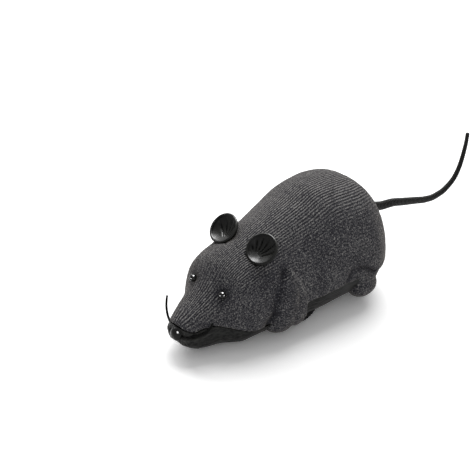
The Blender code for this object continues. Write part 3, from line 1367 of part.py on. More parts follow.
def chassis_room():
    """Return the cutters for all that passes through or sits in the chassis."""
    stem = STEM_RADIUS + RUN_GAP
    recess = ((0, -CUT_OVERRUN), (RECESS_RADIUS, -CUT_OVERRUN), (RECESS_RADIUS, RECESS_ROOF), (stem, RECESS_ROOF),
              (stem, BODY_HEIGHT), (0, BODY_HEIGHT))
    tools = [bay_room(), turned(recess, at(CASTER_BACK), (0, 0, 1), CASTER_SIDES), nose_form(SEAT_GAP)]
    for back, side, _ in post_places():
        tools.append(screw_room(back, side, screw_seat(back), BODY_HEIGHT))
    for side in (1, -1):
        x, z = motor_place(side)
        reach = SADDLE_SIDE + SADDLE_THICKNESS + CUT_OVERRUN
        tools.append(rod((x, -reach, z), (x, reach, z), MOTOR_RADIUS + SEAT_GAP, MOTOR_SIDES))
        tools += [wheel_slot(side), whisker_hole(side)]
    slot_half = KNOB_HALF_LENGTH + SWITCH_TRAVEL / 2 + SEAT_GAP
    slot_low = at(SWITCH_BACK + slot_half, -KNOB_HALF_WIDTH - SEAT_GAP, -CUT_OVERRUN)
    slot_high = at(SWITCH_BACK - slot_half, KNOB_HALF_WIDTH + SEAT_GAP, WHEEL_RADIUS)
    return gathered(*tools, box(slot_low, slot_high))


def chassis():
    """Return the lower body: jaw, skirts and floor, with all that stands in it."""
    base = body_loft(SKIRT_INSET, JAW_INSET, 0, 0, 0)
    cut(base, seam_block(True, -SEAT_GAP), chassis_cavity(), limbs(SEAT_GAP))
    unite(base, gathered(chassis_inside(), skid()))
    return dress(cut(base, chassis_room()), "chassis", BLACK_PLASTIC)


def main():
    """Build every piece of the toy."""
    clear_scene()
    body_shell()
    chassis()
    nose()
    tail()
    battery_door()
    door_screw()
    names = ("front_left", "rear_left", "front_right", "rear_right")
    for (back, side, foot), word in zip(post_places(), names):
        case_screw(back, side, foot, f"{word}_case_screw")
    for row, word in ((-1, "front"), (1, "rear")):
        battery_cell(row, f"{word}_battery_cell")
        battery_spring(row, f"{word}_battery_spring")
    contacts()
    circuit_board()
    board_parts()
    aerial_wire()
    switch_housing()
    switch_slider()
    caster_fork()
    caster_wheel()
    caster_pin()
    caster_cap()
    for side, word in ((1, "left"), (-1, "right")):
        eye(side, f"{word}_eye")
        ear(side, f"{word}_ear")
        whisker(side, f"{word}_whisker")
        motor_can(side, f"{word}_motor_can")
        motor_cap(side, f"{word}_motor_cap")
        motor_shaft(side, f"{word}_motor_shaft")
        motor_lead(side, f"{word}_motor_lead")
        motor_pinion(side, f"{word}_motor_pinion")
        gearbox_plate(side, f"{word}_gearbox_plate")
        gearbox_cover(side, f"{word}_gearbox_cover")
        compound_gear(side, f"{word}_compound_gear")
        compound_pin(side, f"{word}_compound_pin")
        drive_gear(side, f"{word}_drive_gear")
        wheel_axle(side, f"{word}_wheel_axle")
        wheel_hub(side, f"{word}_wheel_hub")
        tyre(side, f"{word}_tyre")


main()
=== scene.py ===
"""Dressed model of a radio-controlled mouse cat toy, on a pale studio floor.

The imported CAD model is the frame: +X to the nose, +Y to the mouse's left, +Z up, metres.
"""

import json
import logging
import math
from dataclasses import dataclass, field
from enum import Enum
from typing import Callable, Iterable, Sequence

import bmesh
import bpy
import numpy as np
from mathutils import Matrix, Vector, noise

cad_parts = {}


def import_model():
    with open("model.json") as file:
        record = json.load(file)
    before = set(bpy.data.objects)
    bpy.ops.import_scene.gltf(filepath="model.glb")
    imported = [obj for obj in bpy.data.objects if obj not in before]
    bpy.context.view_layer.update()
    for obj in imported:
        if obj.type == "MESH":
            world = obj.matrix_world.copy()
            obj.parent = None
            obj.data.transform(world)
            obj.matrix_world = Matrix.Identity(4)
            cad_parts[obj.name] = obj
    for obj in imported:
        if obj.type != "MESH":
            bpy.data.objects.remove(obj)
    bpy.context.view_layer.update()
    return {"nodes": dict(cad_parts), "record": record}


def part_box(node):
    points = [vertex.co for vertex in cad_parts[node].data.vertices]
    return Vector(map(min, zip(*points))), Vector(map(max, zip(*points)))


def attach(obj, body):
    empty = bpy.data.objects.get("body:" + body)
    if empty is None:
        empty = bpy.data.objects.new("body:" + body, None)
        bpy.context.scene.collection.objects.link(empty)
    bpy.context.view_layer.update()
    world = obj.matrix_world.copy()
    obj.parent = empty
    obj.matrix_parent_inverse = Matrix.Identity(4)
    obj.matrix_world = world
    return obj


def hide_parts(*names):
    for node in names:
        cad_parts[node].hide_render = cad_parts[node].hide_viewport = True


log = logging.getLogger("mouse")

MM = 0.001
Colour = tuple[float, float, float, float]
Item, Material = bpy.types.Object, bpy.types.Material
Tree, Socket = bpy.types.NodeTree, bpy.types.NodeSocket


class Side(Enum):
    """The two sides of the mouse, with the sign of Y on each."""

    LEFT = 1
    RIGHT = -1

    @property
    def word(self) -> str:
        """The side's name in lower case."""
        return self.name.lower()


# Small helpers


def linear(colour: str) -> Colour:
    """Turn an sRGB hex colour, "#rrggbb", to linear red, green, blue and a full alpha."""
    parts = [int(colour[k:k + 2], 16) / 255 for k in (1, 3, 5)]
    low = [c / 12.92 if c <= 0.04045 else ((c + 0.055) / 1.055) ** 2.4 for c in parts]
    return (low[0], low[1], low[2], 1.0)


def fill(tree: Tree, node: bpy.types.Node, inputs: dict) -> None:
    """Link or set a node's inputs, given for each name or number as an output or a value."""
    for key, value in inputs.items():
        if isinstance(value, Socket):
            tree.links.new(value, node.inputs[key])
        else:
            node.inputs[key].default_value = value


def add(tree: Tree, kind: str, inputs: dict | None = None, **settings: object) -> bpy.types.Node:
    """Add a node, set its properties and fill its inputs."""
    made = tree.nodes.new(kind)
    for name, value in settings.items():
        setattr(made, name, value)
    fill(tree, made, inputs or {})
    return made


def select_only(item: Item) -> None:
    """Deselect everything and make one object active and selected."""
    bpy.ops.object.select_all(action="DESELECT")
    item.hide_set(False)
    item.select_set(True)
    bpy.context.view_layer.objects.active = item


def apply_modifier(item: Item, kind: str, **settings: object) -> None:
    """Add a modifier of a kind, set its properties and apply it."""
    select_only(item)
    modifier = item.modifiers.new(kind.title(), kind)
    for name, value in settings.items():
        setattr(modifier, name, value)
    bpy.ops.object.modifier_apply(modifier=modifier.name)


def combine(item: Item, operation: str, *tools: Item) -> None:
    """Change an object by a Boolean with each tool in turn and delete the tools."""
    for tool in tools:
        apply_modifier(item, "BOOLEAN", operation=operation, solver="EXACT", object=tool)
        bpy.data.objects.remove(tool)


def from_points(name: str, points: Sequence[Vector], faces: Sequence[Sequence[int]],
                edges: Sequence[Sequence[int]] = ()) -> Item:
    """Make a mesh object from points, and from faces and loose edges given by point numbers."""
    mesh = bpy.data.meshes.new(name)
    mesh.from_pydata([tuple(p) for p in points], list(edges), list(faces))
    item = bpy.data.objects.new(name, mesh)
    bpy.context.scene.collection.objects.link(item)
    return item


def closed_mesh(name: str, points: Sequence[Vector], faces: Sequence[Sequence[int]]) -> Item:
    """Make a closed mesh object whose faces all look outwards."""
    item = from_points(name, points, faces)
    bm = bmesh.new()
    bm.from_mesh(item.data)
    bmesh.ops.recalc_face_normals(bm, faces=bm.faces)
    bm.to_mesh(item.data)
    bm.free()
    return item


def skin_over(name: str, points: Sequence[Vector], sides: int) -> Item:
    """Make a closed mesh over rings of points, with so many sides each, and close both ends."""
    faces = []
    for start in range(0, len(points) - sides, sides):
        for j in range(sides):
            a, b = start + j, start + (j + 1) % sides
            faces.append((a, b, b + sides, a + sides))
    return closed_mesh(name, points, [*faces, tuple(range(sides)), tuple(range(len(points) - sides, len(points)))])


def finish_piece(item: Item, material: Material, body: str, slot: str,
                 *nodes: str, sharp: float = 38.0) -> Item:
    """Give a finished piece its material and body, and hide the nodes it stands for.

    Args:
        item: The piece.
        material: Its one material.
        body: The CAD body it moves with.
        slot: The record's material slot; not used.
        *nodes: The CAD nodes that it stands for.
        sharp: Edges bent by more than this many degrees stay sharp.

    Returns:
        The piece.
    """
    item.data.materials.clear()
    item.data.materials.append(material)
    select_only(item)
    bpy.ops.object.shade_smooth_by_angle(angle=math.radians(sharp))
    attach(item, body)
    if nodes:
        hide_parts(*nodes)
    log.info("%s: %d faces, stands for %s", item.name, len(item.data.polygons), ", ".join(nodes) or "nothing")
    return item


def lathe(name: str, profile: Sequence[tuple[float, float]], steps: int) -> Item:
    """Spin a profile of (radius, height) points about Z in so many steps to a full turn."""
    points = [Vector((r, 0, h)) for r, h in profile]
    closed = all(r > 0 for r, _ in profile)
    edges = [(k, k + 1) for k in range(len(points) - 1)]
    if closed:
        edges.append((len(points) - 1, 0))
    item = from_points(name, points, (), edges)
    select_only(item)
    bpy.ops.object.mode_set(mode="EDIT")
    bpy.ops.mesh.select_all(action="SELECT")
    bpy.ops.mesh.spin(steps=steps, angle=math.tau, center=(0, 0, 0), axis=(0, 0, 1))
    bpy.ops.mesh.select_all(action="SELECT")
    bpy.ops.mesh.remove_doubles(threshold=0.000001)
    bpy.ops.mesh.normals_make_consistent(inside=False)
    bpy.ops.object.mode_set(mode="OBJECT")
    return item


def rounded(profile: Sequence[tuple[float, float]], reach: float, steps: int = 3) -> list[tuple[float, float]]:
    """Round a closed profile's corners, starting at a reach from each, with so many steps to a rounding."""
    points = [Vector(p) for p in profile]
    out = []
    for k, corner in enumerate(points):
        before, after = points[k - 1], points[(k + 1) % len(points)]
        start = corner + (before - corner).normalized() * min(reach, (before - corner).length / 2.2)
        end = corner + (after - corner).normalized() * min(reach, (after - corner).length / 2.2)
        for j in range(steps + 1):
            t = j / steps
            point = start * (1 - t) ** 2 + corner * 2 * t * (1 - t) + end * t * t
            out.append((point.x, point.y))
    return out


def frame_at(start: Vector, direction: Vector) -> Matrix:
    """Return the frame at a point whose Z axis runs along a direction."""
    return Matrix.Translation(start) @ Vector((0, 0, 1)).rotation_difference(direction).to_matrix().to_4x4()


def smooth_table(places: Sequence[float], values: Sequence[float], where: float) -> float:
    """Read at one place the smooth curve through values at rising places, which never overshoots them."""
    steps = np.diff(places)
    slopes = np.diff(values) / steps
    tangents = np.zeros(len(places))
    tangents[0], tangents[-1] = slopes[0], slopes[-1]
    for k in range(1, len(slopes)):
        if slopes[k - 1] * slopes[k] > 0:
            first, second = 2 * steps[k] + steps[k - 1], steps[k] + 2 * steps[k - 1]
            tangents[k] = (first + second) / (first / slopes[k - 1] + second / slopes[k])
    k = int(np.clip(np.searchsorted(places, where) - 1, 0, len(steps) - 1))
    t = (where - places[k]) / steps[k]
    rise = values[k + 1] - values[k]
    lean = steps[k] * t * (1 - t) * ((1 - t) * tangents[k] - t * tangents[k + 1])
    return float(values[k] + rise * t * t * (3 - 2 * t) + lean)


def spread(places: Sequence[float], values: Sequence[float], count: int) -> np.ndarray:
    """Read a smooth table at evenly spaced places from 0 to 1."""
    return np.array([smooth_table(places, values, max(k / (count - 1), places[0])) for k in range(count)])


def near_line(point: np.ndarray, line: Sequence[Sequence[float]]) -> np.ndarray:
    """Return the distance from each point to a broken line, given by its corners."""
    best = np.full(len(point), 1e9)
    for one, two in zip(line, line[1:]):
        a, b = np.array(one), np.array(two)
        t = np.clip(((point - a) @ (b - a)) / ((b - a) @ (b - a)), 0, 1)
        best = np.minimum(best, np.linalg.norm(point - a - t[:, None] * (b - a), axis=1))
    return best


def bell(distance: np.ndarray, width: float) -> np.ndarray:
    """Return 1 at no distance, falling off softly over the width."""
    return np.exp(-(distance / width) ** 2)


def fade(gap: np.ndarray, width: float) -> np.ndarray:
    """Return 0 up to no gap, rising evenly to 1 at the width."""
    return np.clip(gap / width, 0, 1)


def noise_at(points: np.ndarray, scale: Sequence[float]) -> np.ndarray:
    """Return smooth noise at each point, with a scale for each axis."""
    return np.array([noise.noise(Vector(place)) for place in points * np.array(scale)])


def box_and_middle(node: str) -> tuple[Vector, Vector, Vector]:
    """Return a CAD node's low corner, high corner and middle."""
    low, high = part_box(node)
    return low, high, (low + high) / 2


def points_of(mesh: bpy.types.Mesh) -> np.ndarray:
    """Return a mesh's points as rows."""
    out = np.zeros(len(mesh.vertices) * 3)
    mesh.vertices.foreach_get("co", out)
    return out.reshape(-1, 3)


def normals_of(mesh: bpy.types.Mesh) -> np.ndarray:
    """Return a mesh's point normals as rows."""
    out = np.zeros(len(mesh.vertices) * 3, np.float32)
    mesh.vertices.foreach_get("normal", out)
    return out.reshape(-1, 3).astype(float)


def move_points(mesh: bpy.types.Mesh, points: np.ndarray) -> None:
    """Write new places for a mesh's points."""
    mesh.vertices.foreach_set("co", points.astype(np.float32).ravel())
    mesh.update()


def store(mesh: bpy.types.Mesh, name: str, values: np.ndarray) -> None:
    """Keep a number, or a row of three, for each point as a named attribute."""
    kind, key = ("FLOAT_VECTOR", "vector") if values.ndim == 2 else ("FLOAT", "value")
    mesh.attributes.new(name, kind, "POINT").data.foreach_set(key, values.astype(np.float32).ravel())


# Finishes


class Recipe:
    """A new material, with short calls for the nodes that its finish is made of."""

    def __init__(self, name: str) -> None:
        """Start the material, whose patterns are laid out in the frame's metres."""
        self.material = bpy.data.materials.new(name)
        self.material.use_nodes = True
        self.tree = self.material.node_tree
        self.place = add(self.tree, "ShaderNodeTexCoord").outputs["Object"]

    def attribute(self, name: str) -> Socket:
        """Read a number that is kept for each point."""
        return add(self.tree, "ShaderNodeAttribute", attribute_name=name).outputs["Fac"]

    def maths(self, operation: str, *values: Socket | float) -> Socket:
        """Work out one operation on up to three values."""
        return add(self.tree, "ShaderNodeMath", dict(enumerate(values)), operation=operation).outputs[0]

    def mapped(self, value: Socket, start: tuple = (0.0, 1.0), end: tuple = (0.0, 1.0)) -> Socket:
        """Map a value from one range to another and keep it inside."""
        limits = {"From Min": start[0], "From Max": start[1], "To Min": end[0], "To Max": end[1]}
        return add(self.tree, "ShaderNodeMapRange", {"Value": value, **limits}).outputs[0]

    def noise(self, scale: float, detail: float, stretch: Sequence[float] | None = None) -> Socket:
        """Return noise with a number of spots to the metre, or stretched by numbers for each axis."""
        place = self.place
        if stretch:
            place = add(self.tree, "ShaderNodeMapping", {"Vector": place, "Scale": stretch}).outputs[0]
        inputs = {"Vector": place, "Scale": scale, "Detail": detail}
        return add(self.tree, "ShaderNodeTexNoise", inputs).outputs["Fac"]

    def ramp(self, value: Socket, stops: dict[float, Colour]) -> Socket:
        """Turn a value into a colour between the stops."""
        made = add(self.tree, "ShaderNodeValToRGB", {0: value})
        places = sorted(stops)
        for end, place in zip(made.color_ramp.elements, (places[0], places[-1])):
            end.position, end.color = place, stops[place]
        for place in places[1:-1]:
            made.color_ramp.elements.new(place).color = stops[place]
        return made.outputs[0]

    def bump(self, height: Socket, depth_mm: float, strength: float = 1.0, below: Socket | None = None) -> Socket:
        """Raise the surface, over the bump below if there is one."""
        inputs = {"Height": height, "Strength": strength, "Distance": depth_mm * MM}
        if below is not None:
            inputs["Normal"] = below
        return add(self.tree, "ShaderNodeBump", inputs).outputs[0]

    def finish(self, inputs: dict) -> Material:
        """Fill the shader's inputs and return the material."""
        fill(self.tree, self.tree.nodes["Principled BSDF"], inputs)
        return self.material


def toned(colour: str, factor: float) -> Colour:
    """Return a hex colour's linear values made darker or paler by a factor."""
    return (*[min(c * factor, 1) for c in linear(colour)[:3]], 1)


@dataclass(frozen=True)
class Velvet:
    """Nylon flock blown on ribbed ABS: matt, with painted shade between the ribs and painted light on their crests,
    warm and pale where seen along the pile.
    """

    name: str = "nylon_flock_on_abs"
    # deep and tips end the tone ramp. Besides random tone, deep carries painted shade between the ribs and in the
    # creases, and tips a painted highlight on the rib crests and along the arm's ridge.
    deep: str = "#0d0d10"
    pile: str = "#343439"
    tips: str = "#8c8a88"
    sheen: str = "#d8cfc4"
    sheen_weight: float = 0.28
    sheen_roughness: float = 0.34
    ribs_round: tuple = (36.0, 72.0, 144.0)
    parting: tuple = ((0.011, 0.014), (0.021, 0.025))
    drift_scale: float = 150.0
    wobble: float = 2.4
    rib_share: float = 0.32
    spots: tuple = ((1000 / 0.60, 1.0, 1.5), (1000 / 0.32, 2.0, 1.2), (70.0, 2.0, 0.30))
    pile_mm: float = 0.30

    def material(self) -> Material:
        """Build the material, whose ribs follow the body from nose to tail and part as it widens."""
        recipe = Recipe(self.name)
        around, girth = recipe.attribute("around"), recipe.attribute("girth")
        drift = recipe.noise(self.drift_scale, 2.0)
        ribs = []
        for count in self.ribs_round:
            bent = recipe.maths("MULTIPLY_ADD", drift, self.wobble * 2, recipe.maths("MULTIPLY", around, count))
            ribs.append(recipe.maths("SINE", bent))
        blend = ribs[0]
        for limits, finer in zip(self.parting, ribs[1:]):
            inputs = {"Factor": recipe.mapped(girth, limits), 2: blend, 3: finer}
            blend = add(recipe.tree, "ShaderNodeMix", inputs).outputs[0]
        # The ribs' tone is their relief and also painted shade between them with painted light on their crests,
        # strongest where the skin faces up.
        ribs_relief_and_shade = recipe.maths("MULTIPLY", blend, recipe.attribute("rib_relief_and_shade"))
        tone = recipe.maths("MULTIPLY_ADD", ribs_relief_and_shade, self.rib_share, 0.5)
        for scale, detail, share in self.spots:
            level = recipe.maths("MULTIPLY_ADD", recipe.noise(scale, detail), share, -share / 2)
            tone = recipe.maths("ADD", tone, level)
        # Painted shade in the creases, brow and ear slots, with a painted highlight along the arm's ridge, is taken off
        # the tone.
        shaded = recipe.maths("SUBTRACT", tone, recipe.attribute("hollow"))
        stops = {0.0: linear(self.deep), 0.5: linear(self.pile), 1.0: linear(self.tips)}
        return recipe.finish({
            "Base Color": recipe.ramp(shaded, stops), "Normal": recipe.bump(tone, self.pile_mm, 0.8),
            "Roughness": 0.95, "Specular IOR Level": 0.12, "Sheen Weight": self.sheen_weight,
            "Sheen Roughness": self.sheen_roughness, "Sheen Tint": linear(self.sheen)})


@dataclass(frozen=True)
class Moulded:
    """Injection-moulded plastic or rubber: even colour, faint cloudiness and a fine eroded grain."""

    name: str
    colour: str
    roughness: float = 0.45
    grain_mm: float = 0.35
    grain_depth_mm: float = 0.02
    cloud_mm: float = 14.0
    flow_mm: float = 0.0
    flow_depth_mm: float = 0.25
    flow_stretch: float = 7.0
    flow_stops: tuple = (0.36, 0.64)
    # streak spreads the colour over the cloudy tone; with hair grooves it is their painted shade and paler ridges
    # instead.
    streak: float = 0.18
    # The share of the painted shade and light kept for each point.
    painted_shade_and_light: float = 0.0
    coat: float = 0.0
    shine: float = 0.5
    ior: float = 1.5
    gloss_spread: tuple = (0.88, 1.14)

    def material(self) -> Material:
        """Build the material; a flow size adds hair grooves along the body, coloured with painted shade in the grooves
        and paler ridges, and the painted shade and light kept for each point darken and lighten the colour.
        """
        recipe = Recipe(self.name)
        tone_and_groove_shade = cloud = recipe.noise(1000 / self.cloud_mm, 3.0)
        low, high = 0.0, 1.0
        bump = recipe.bump(recipe.noise(1000 / self.grain_mm, 2.0), self.grain_depth_mm)
        if self.flow_mm:
            # With hair grooves the colour follows their noise: painted shade in the grooves and paler ridges.
            low, high = self.flow_stops
            across = 1000 / self.flow_mm
            tone_and_groove_shade = recipe.noise(1.0, 1.0, (1000 / (self.flow_mm * self.flow_stretch), across, across))
            bump = recipe.bump(tone_and_groove_shade, self.flow_depth_mm, below=bump)
        dark, pale = toned(self.colour, 1 - self.streak), toned(self.colour, 1 + self.streak)
        colour = recipe.ramp(tone_and_groove_shade, {low: dark, high: pale})
        # Painted shade and light kept for each point darken the colour where it is below nought and lighten it above.
        if self.painted_shade_and_light:
            level = recipe.maths("MULTIPLY_ADD", recipe.attribute("painted_shade_and_light"), self.painted_shade_and_light, 1.0)
            colour = add(recipe.tree, "ShaderNodeMix", {"Factor": 1.0, 6: colour, 7: level}, data_type="RGBA",
                         blend_type="MULTIPLY").outputs[2]
        smooth, dull = (self.roughness * share for share in self.gloss_spread)
        return recipe.finish({
            "Base Color": colour, "Roughness": recipe.mapped(cloud, end=(smooth, min(dull, 1))), "Normal": bump,
            "Specular IOR Level": self.shine, "IOR": self.ior, "Coat Weight": self.coat})


@dataclass(frozen=True)
class Turned:
    """Drawn or turned metal: fine rings and scratches that blur its reflections."""

    name: str
    colour: str
    roughness: float = 0.3
    scratch_mm: float = 0.12
    scratch_length: float = 150.0
    cloud_scale: float = 220.0
    tones: tuple = (0.86, 1.1)
    gloss_spread: tuple = (0.7, 1.4)

    def material(self) -> Material:
        """Build the material with scratches that run round the piece."""
        recipe = Recipe(self.name)
        scratch = recipe.noise(1.0, 2.0, (self.scratch_length, 1000 / self.scratch_mm, self.scratch_length))
        dark, pale = (toned(self.colour, tone) for tone in self.tones)
        smooth, dull = (self.roughness * share for share in self.gloss_spread)
        return recipe.finish({
            "Base Color": recipe.ramp(recipe.noise(self.cloud_scale, 3.0), {0.0: dark, 1.0: pale}),
            "Roughness": recipe.mapped(scratch, end=(smooth, dull)), "Normal": recipe.bump(scratch, 0.01, 0.6),
            "Metallic": 1.0})


VELVET = Velvet()
# The jaw's hair grooves carry painted shade and paler ridges, and its lips keep painted shade and light.
CHASSIS_ABS = Moulded("black_abs", "#191918", 0.46, grain_mm=0.5, flow_mm=1.0, flow_depth_mm=0.5, streak=0.8,
                      painted_shade_and_light=0.85, shine=0.14)
DOOR_ABS = Moulded("black_abs_door", "#101010", 0.46, grain_mm=0.5, shine=0.14)
NOSE_GLOSS = Moulded("polished_black_abs", "#020202", 0.12, grain_depth_mm=0.002, shine=0.14)
EYE_GLOSS = Moulded("polished_acrylic_bead", "#010101", 0.03, grain_depth_mm=0.0003, shine=0.18, ior=1.49)
# The ears and tail take the painted shade and light kept on their points.
EAR_VINYL = Moulded("soft_black_vinyl", "#0d0d0c", 0.32, grain_mm=0.4, painted_shade_and_light=0.9, shine=0.12)
TAIL_VINYL = Moulded("ribbed_black_vinyl", "#0d0d0c", 0.34, grain_mm=0.3, painted_shade_and_light=0.95, shine=0.10)
WHISKER_NYLON = Moulded("black_nylon_bristle", "#050505", 0.5, grain_depth_mm=0.004, shine=0.05)
TYRE = Moulded("moulded_rubber_tyre", "#0c0c0b", 0.75, grain_mm=0.3, grain_depth_mm=0.04, shine=0.15)
HUB_ABS = Moulded("black_abs_hub", "#1a1a1b", 0.4, shine=0.35)
WHITE_POM = Moulded("white_acetal", "#e2e1da", 0.42)
GREY_POM = Moulded("grey_acetal", "#8c8e90", 0.45)
CELL_FILM = Moulded("printed_cell_film", "#4a515c", 0.3, coat=0.3)
MASK_GREEN = Moulded("green_solder_mask", "#20623d", 0.38, coat=0.3)
PVC_RED = Moulded("red_pvc_insulation", "#a8201a", 0.42)
STEEL = Turned("drawn_steel", "#c4c4c8", 0.3)
BRASS = Turned("turned_brass", "#d6b25e", 0.3)


# The mouse's form


@dataclass
class BodyForm:
    """The smooth body: its size, its section shares from nose to rump and the seam line."""

    length: float = 0.125
    width: float = 0.070
    height: float = 0.060
    belly: float = 0.004
    nose_x: float = 0.1105
    waist_share: float = 0.24
    stations: tuple = (0.016, 0.032, 0.08, 0.16, 0.24, 0.32, 0.40, 0.48, 0.60, 0.72, 0.84, 0.92, 0.968, 0.992, 1)
    widths: tuple = (0.14, 0.235, 0.33, 0.44, 0.66, 0.705, 0.77, 0.835, 0.92, 0.95, 1, 0.89, 0.665, 0.40, 0.14)
    tops: tuple = (0.30, 0.34, 0.40, 0.505, 0.70, 0.765, 0.82, 0.87, 0.935, 1, 0.98, 0.945, 0.80, 0.63, 0.53)
    rises: tuple = (0.08, 0.045, 0.022, 0.01, 0, 0, 0, 0, 0, 0, 0.017, 0.067, 0.133, 0.22, 0.30)
    fullness: tuple = (2.1, 2.45, 1.9, 2.2, 2.5)
    lower_widths: tuple = (1, 0.975, 0.92, 0.81, 0.69, 0.50, 0.25, 0)
    lower_drops: tuple = (0, 0.22, 0.46, 0.74, 0.97, 1, 1, 1)
    seam_places: tuple = (0, 0.052, 0.088, 0.12, 0.16, 0.204, 0.288, 0.36, 0.44, 0.48, 0.56, 0.656, 0.80, 1)
    seam_heights: tuple = (0.32, 0.273, 0.292, 0.298, 0.268, 0.237, 0.203, 0.22, 0.28, 0.30, 0.312, 0.325, 0.32, 0.36)
    dome: tuple = ((0.0009, 0.30), (0.0008, 0.58), (0.0005, 0.82))
    nose: tuple = (0.0030, 0.0, 0.0134)
    nose_radii: tuple = (0.0030, 0.0035, 0.0036)
    nose_groove: float = 0.0010
    nose_groove_place: float = 1.22
    nose_groove_width: float = 0.26
    eye: tuple = (0.0228, 0.01001)
    eye_rise: float = 0.0004
    seam_steps: int = 80
    seam_overhang: float = 5 * MM
    hollow_start: float = 0.055
    table_size: int = 601
    tables: dict = field(default_factory=dict)

    def __post_init__(self) -> None:
        """Read the share tables once, at many places."""
        half, count = self.width / 2, self.table_size
        self.tables["half"] = half * spread(self.stations, self.widths, count)
        self.tables["top"] = self.height * spread(self.stations, self.tops, count)
        self.tables["low"] = self.belly + self.height * spread(self.stations, self.rises, count)
        self.tables["seam"] = self.height * spread(self.seam_places, self.seam_heights, count)
        self.tables["power"] = spread(np.linspace(0, 1, len(self.fullness)), self.fullness, count)
        self.tables["side"] = spread(np.linspace(0, 1, len(self.lower_widths)), self.lower_widths, count)
        self.tables["drop"] = spread(np.linspace(0, 1, len(self.lower_drops)), self.lower_drops, count)

    def read(self, name: str, share: float | np.ndarray) -> float | np.ndarray:
        """Read one of the tables at a share, or at many."""
        return np.interp(share, np.linspace(0, 1, self.table_size), self.tables[name])

    def at(self, back: float, side: float = 0.0, height: float = 0.0) -> Vector:
        """Return the point at a distance behind the nose, to the left and above the floor."""
        return Vector((self.nose_x - back, side, height))

    def section(self, share: float | np.ndarray) -> tuple:
        """Return the half width, top, waist and bottom at a share of the length."""
        half, top, low = (self.read(name, share) for name in ("half", "top", "low"))
        return half, top, low + self.waist_share * (top - low), low

    def section_point(self, turn: float, power: float) -> tuple[float, float]:
        """Return a section's side and height shares at a share of the way round it."""
        if turn <= 0.5:
            across, rise = math.cos(math.tau * turn), max(math.sin(math.tau * turn), 0)
            return math.copysign(abs(across) ** (2 / power), across), rise ** (2 / power)
        down = 1 - abs(4 * turn - 3)
        return math.copysign(float(self.read("side", down)), turn - 0.75), -float(self.read("drop", down))

    def skin(self, back: float, side: float) -> Vector:
        """Return the point on the upper skin at a place."""
        half, top, waist, _ = self.section(back / self.length)
        power = float(self.read("power", back / self.length))
        rise = max(1 - abs(side / float(half)) ** power, 0) ** (1 / power)
        return self.at(back, side, float(waist + (top - waist) * rise))

    def normal(self, back: float, side: float) -> Vector:
        """Return the outward direction of the upper skin at a place."""
        step = MM
        along = self.skin(back + step, side) - self.skin(back, side)
        over = self.skin(back, side + step) - self.skin(back, side)
        found = along.cross(over).normalized()
        return found if found.z > 0 else -found

    def groove_at_nose(self, points: np.ndarray) -> np.ndarray:
        """Return how deep the groove round the nose is at each point."""
        apart = np.linalg.norm((points - np.array(self.at(*self.nose))) / np.array(self.nose_radii), axis=1)
        return self.nose_groove * bell(apart - self.nose_groove_place, self.nose_groove_width)

    def eye_centre(self, side: Side) -> tuple[Vector, Vector]:
        """Return an eye's centre, a little above the skin, and the way it looks."""
        normal = self.normal(self.eye[0], side.value * self.eye[1])
        return self.skin(self.eye[0], side.value * self.eye[1]) + normal * self.eye_rise, normal

    def loft(self, name: str, rings: int, sides: int, inset: Callable[[float], float], floor: float = 0.0,
             roof: float = 0.0, ends: float = 0.0, first: float | None = None,
             domed: bool = False) -> Item:
        """Make the closed body form.

        Args:
            name: The object's name.
            rings: Sections along the body.
            sides: Points round each section.
            inset: The side inset at a share of the length.
            floor: How far the underside is raised.
            roof: How far the top is lowered.
            ends: How far nose and rump are drawn in.
            first: The share of the length where the form starts.
            domed: Whether both ends are rounded off.

        Returns:
            The new object.
        """
        first = self.stations[0] if first is None else first
        loops = []
        for k in range(rings):
            t = k / (rings - 1)
            share = first + (1 - first) * (t + (1 - math.cos(math.pi * t)) / 2) / 2
            half, top, waist, low = (float(v) for v in self.section(share))
            power = float(self.read("power", share))
            half = max(half - inset(share), MM)
            top, low = max(top - roof, waist + MM), min(low + floor, waist - MM)
            x = self.nose_x - self.length * share - ends * (1 - 2 * share)
            loop = []
            for j in range(sides):
                across, rise = self.section_point(j / sides, power)
                reach = top - waist if rise > 0 else waist - low
                loop.append(Vector((x, half * across, waist + reach * rise)))
            loops.append(loop)
        if domed:
            front, rear = self.end_loops(loops[0], 1), self.end_loops(loops[-1], -1)
            loops = front + loops + rear[::-1]
        return skin_over(name, [point for loop in loops for point in loop], sides)

    def end_loops(self, loop: list[Vector], ahead: int) -> list[list[Vector]]:
        """Return the shrinking loops that round off an end, the outermost first."""
        middle = sum(loop, Vector()) / len(loop)
        return [[middle.lerp(point, scale) + Vector((ahead * reach, 0, 0)) for point in loop]
                for reach, scale in self.dome]

    def seam_block(self, name: str, above: bool, offset: float = 0.0) -> Item:
        """Make the block above or below the seam line, moved up by an offset."""
        steps = self.seam_steps
        over = self.seam_overhang
        front, rear = self.nose_x + over, self.nose_x - self.length - over
        far = self.height + over if above else -self.height
        line = [(front, far), (front, float(self.read("seam", 0)) + offset)]
        for k in range(steps + 1):
            line.append((self.nose_x - self.length * k / steps, float(self.read("seam", k / steps)) + offset))
        line += [(rear, line[-1][1]), (rear, far)]
        count = len(line)
        points = [Vector((x, y, z)) for y in (-self.width, self.width) for x, z in line]
        faces = [(k, (k + 1) % count, count + (k + 1) % count, count + k) for k in range(count)]
        faces += [tuple(range(count)), tuple(range(count, 2 * count))]
        return closed_mesh(name, points, faces)


def primitive(place: Matrix, add_one: Callable, **settings: object) -> Item:
    """Add a primitive and keep its place in its mesh, for a piece or a cutter."""
    bpy.ops.object.select_all(action="DESELECT")
    add_one(**settings)
    item = bpy.context.object
    item.matrix_world = place
    bpy.context.view_layer.update()
    item.data.transform(item.matrix_world)
    item.matrix_world = Matrix.Identity(4)
    return item


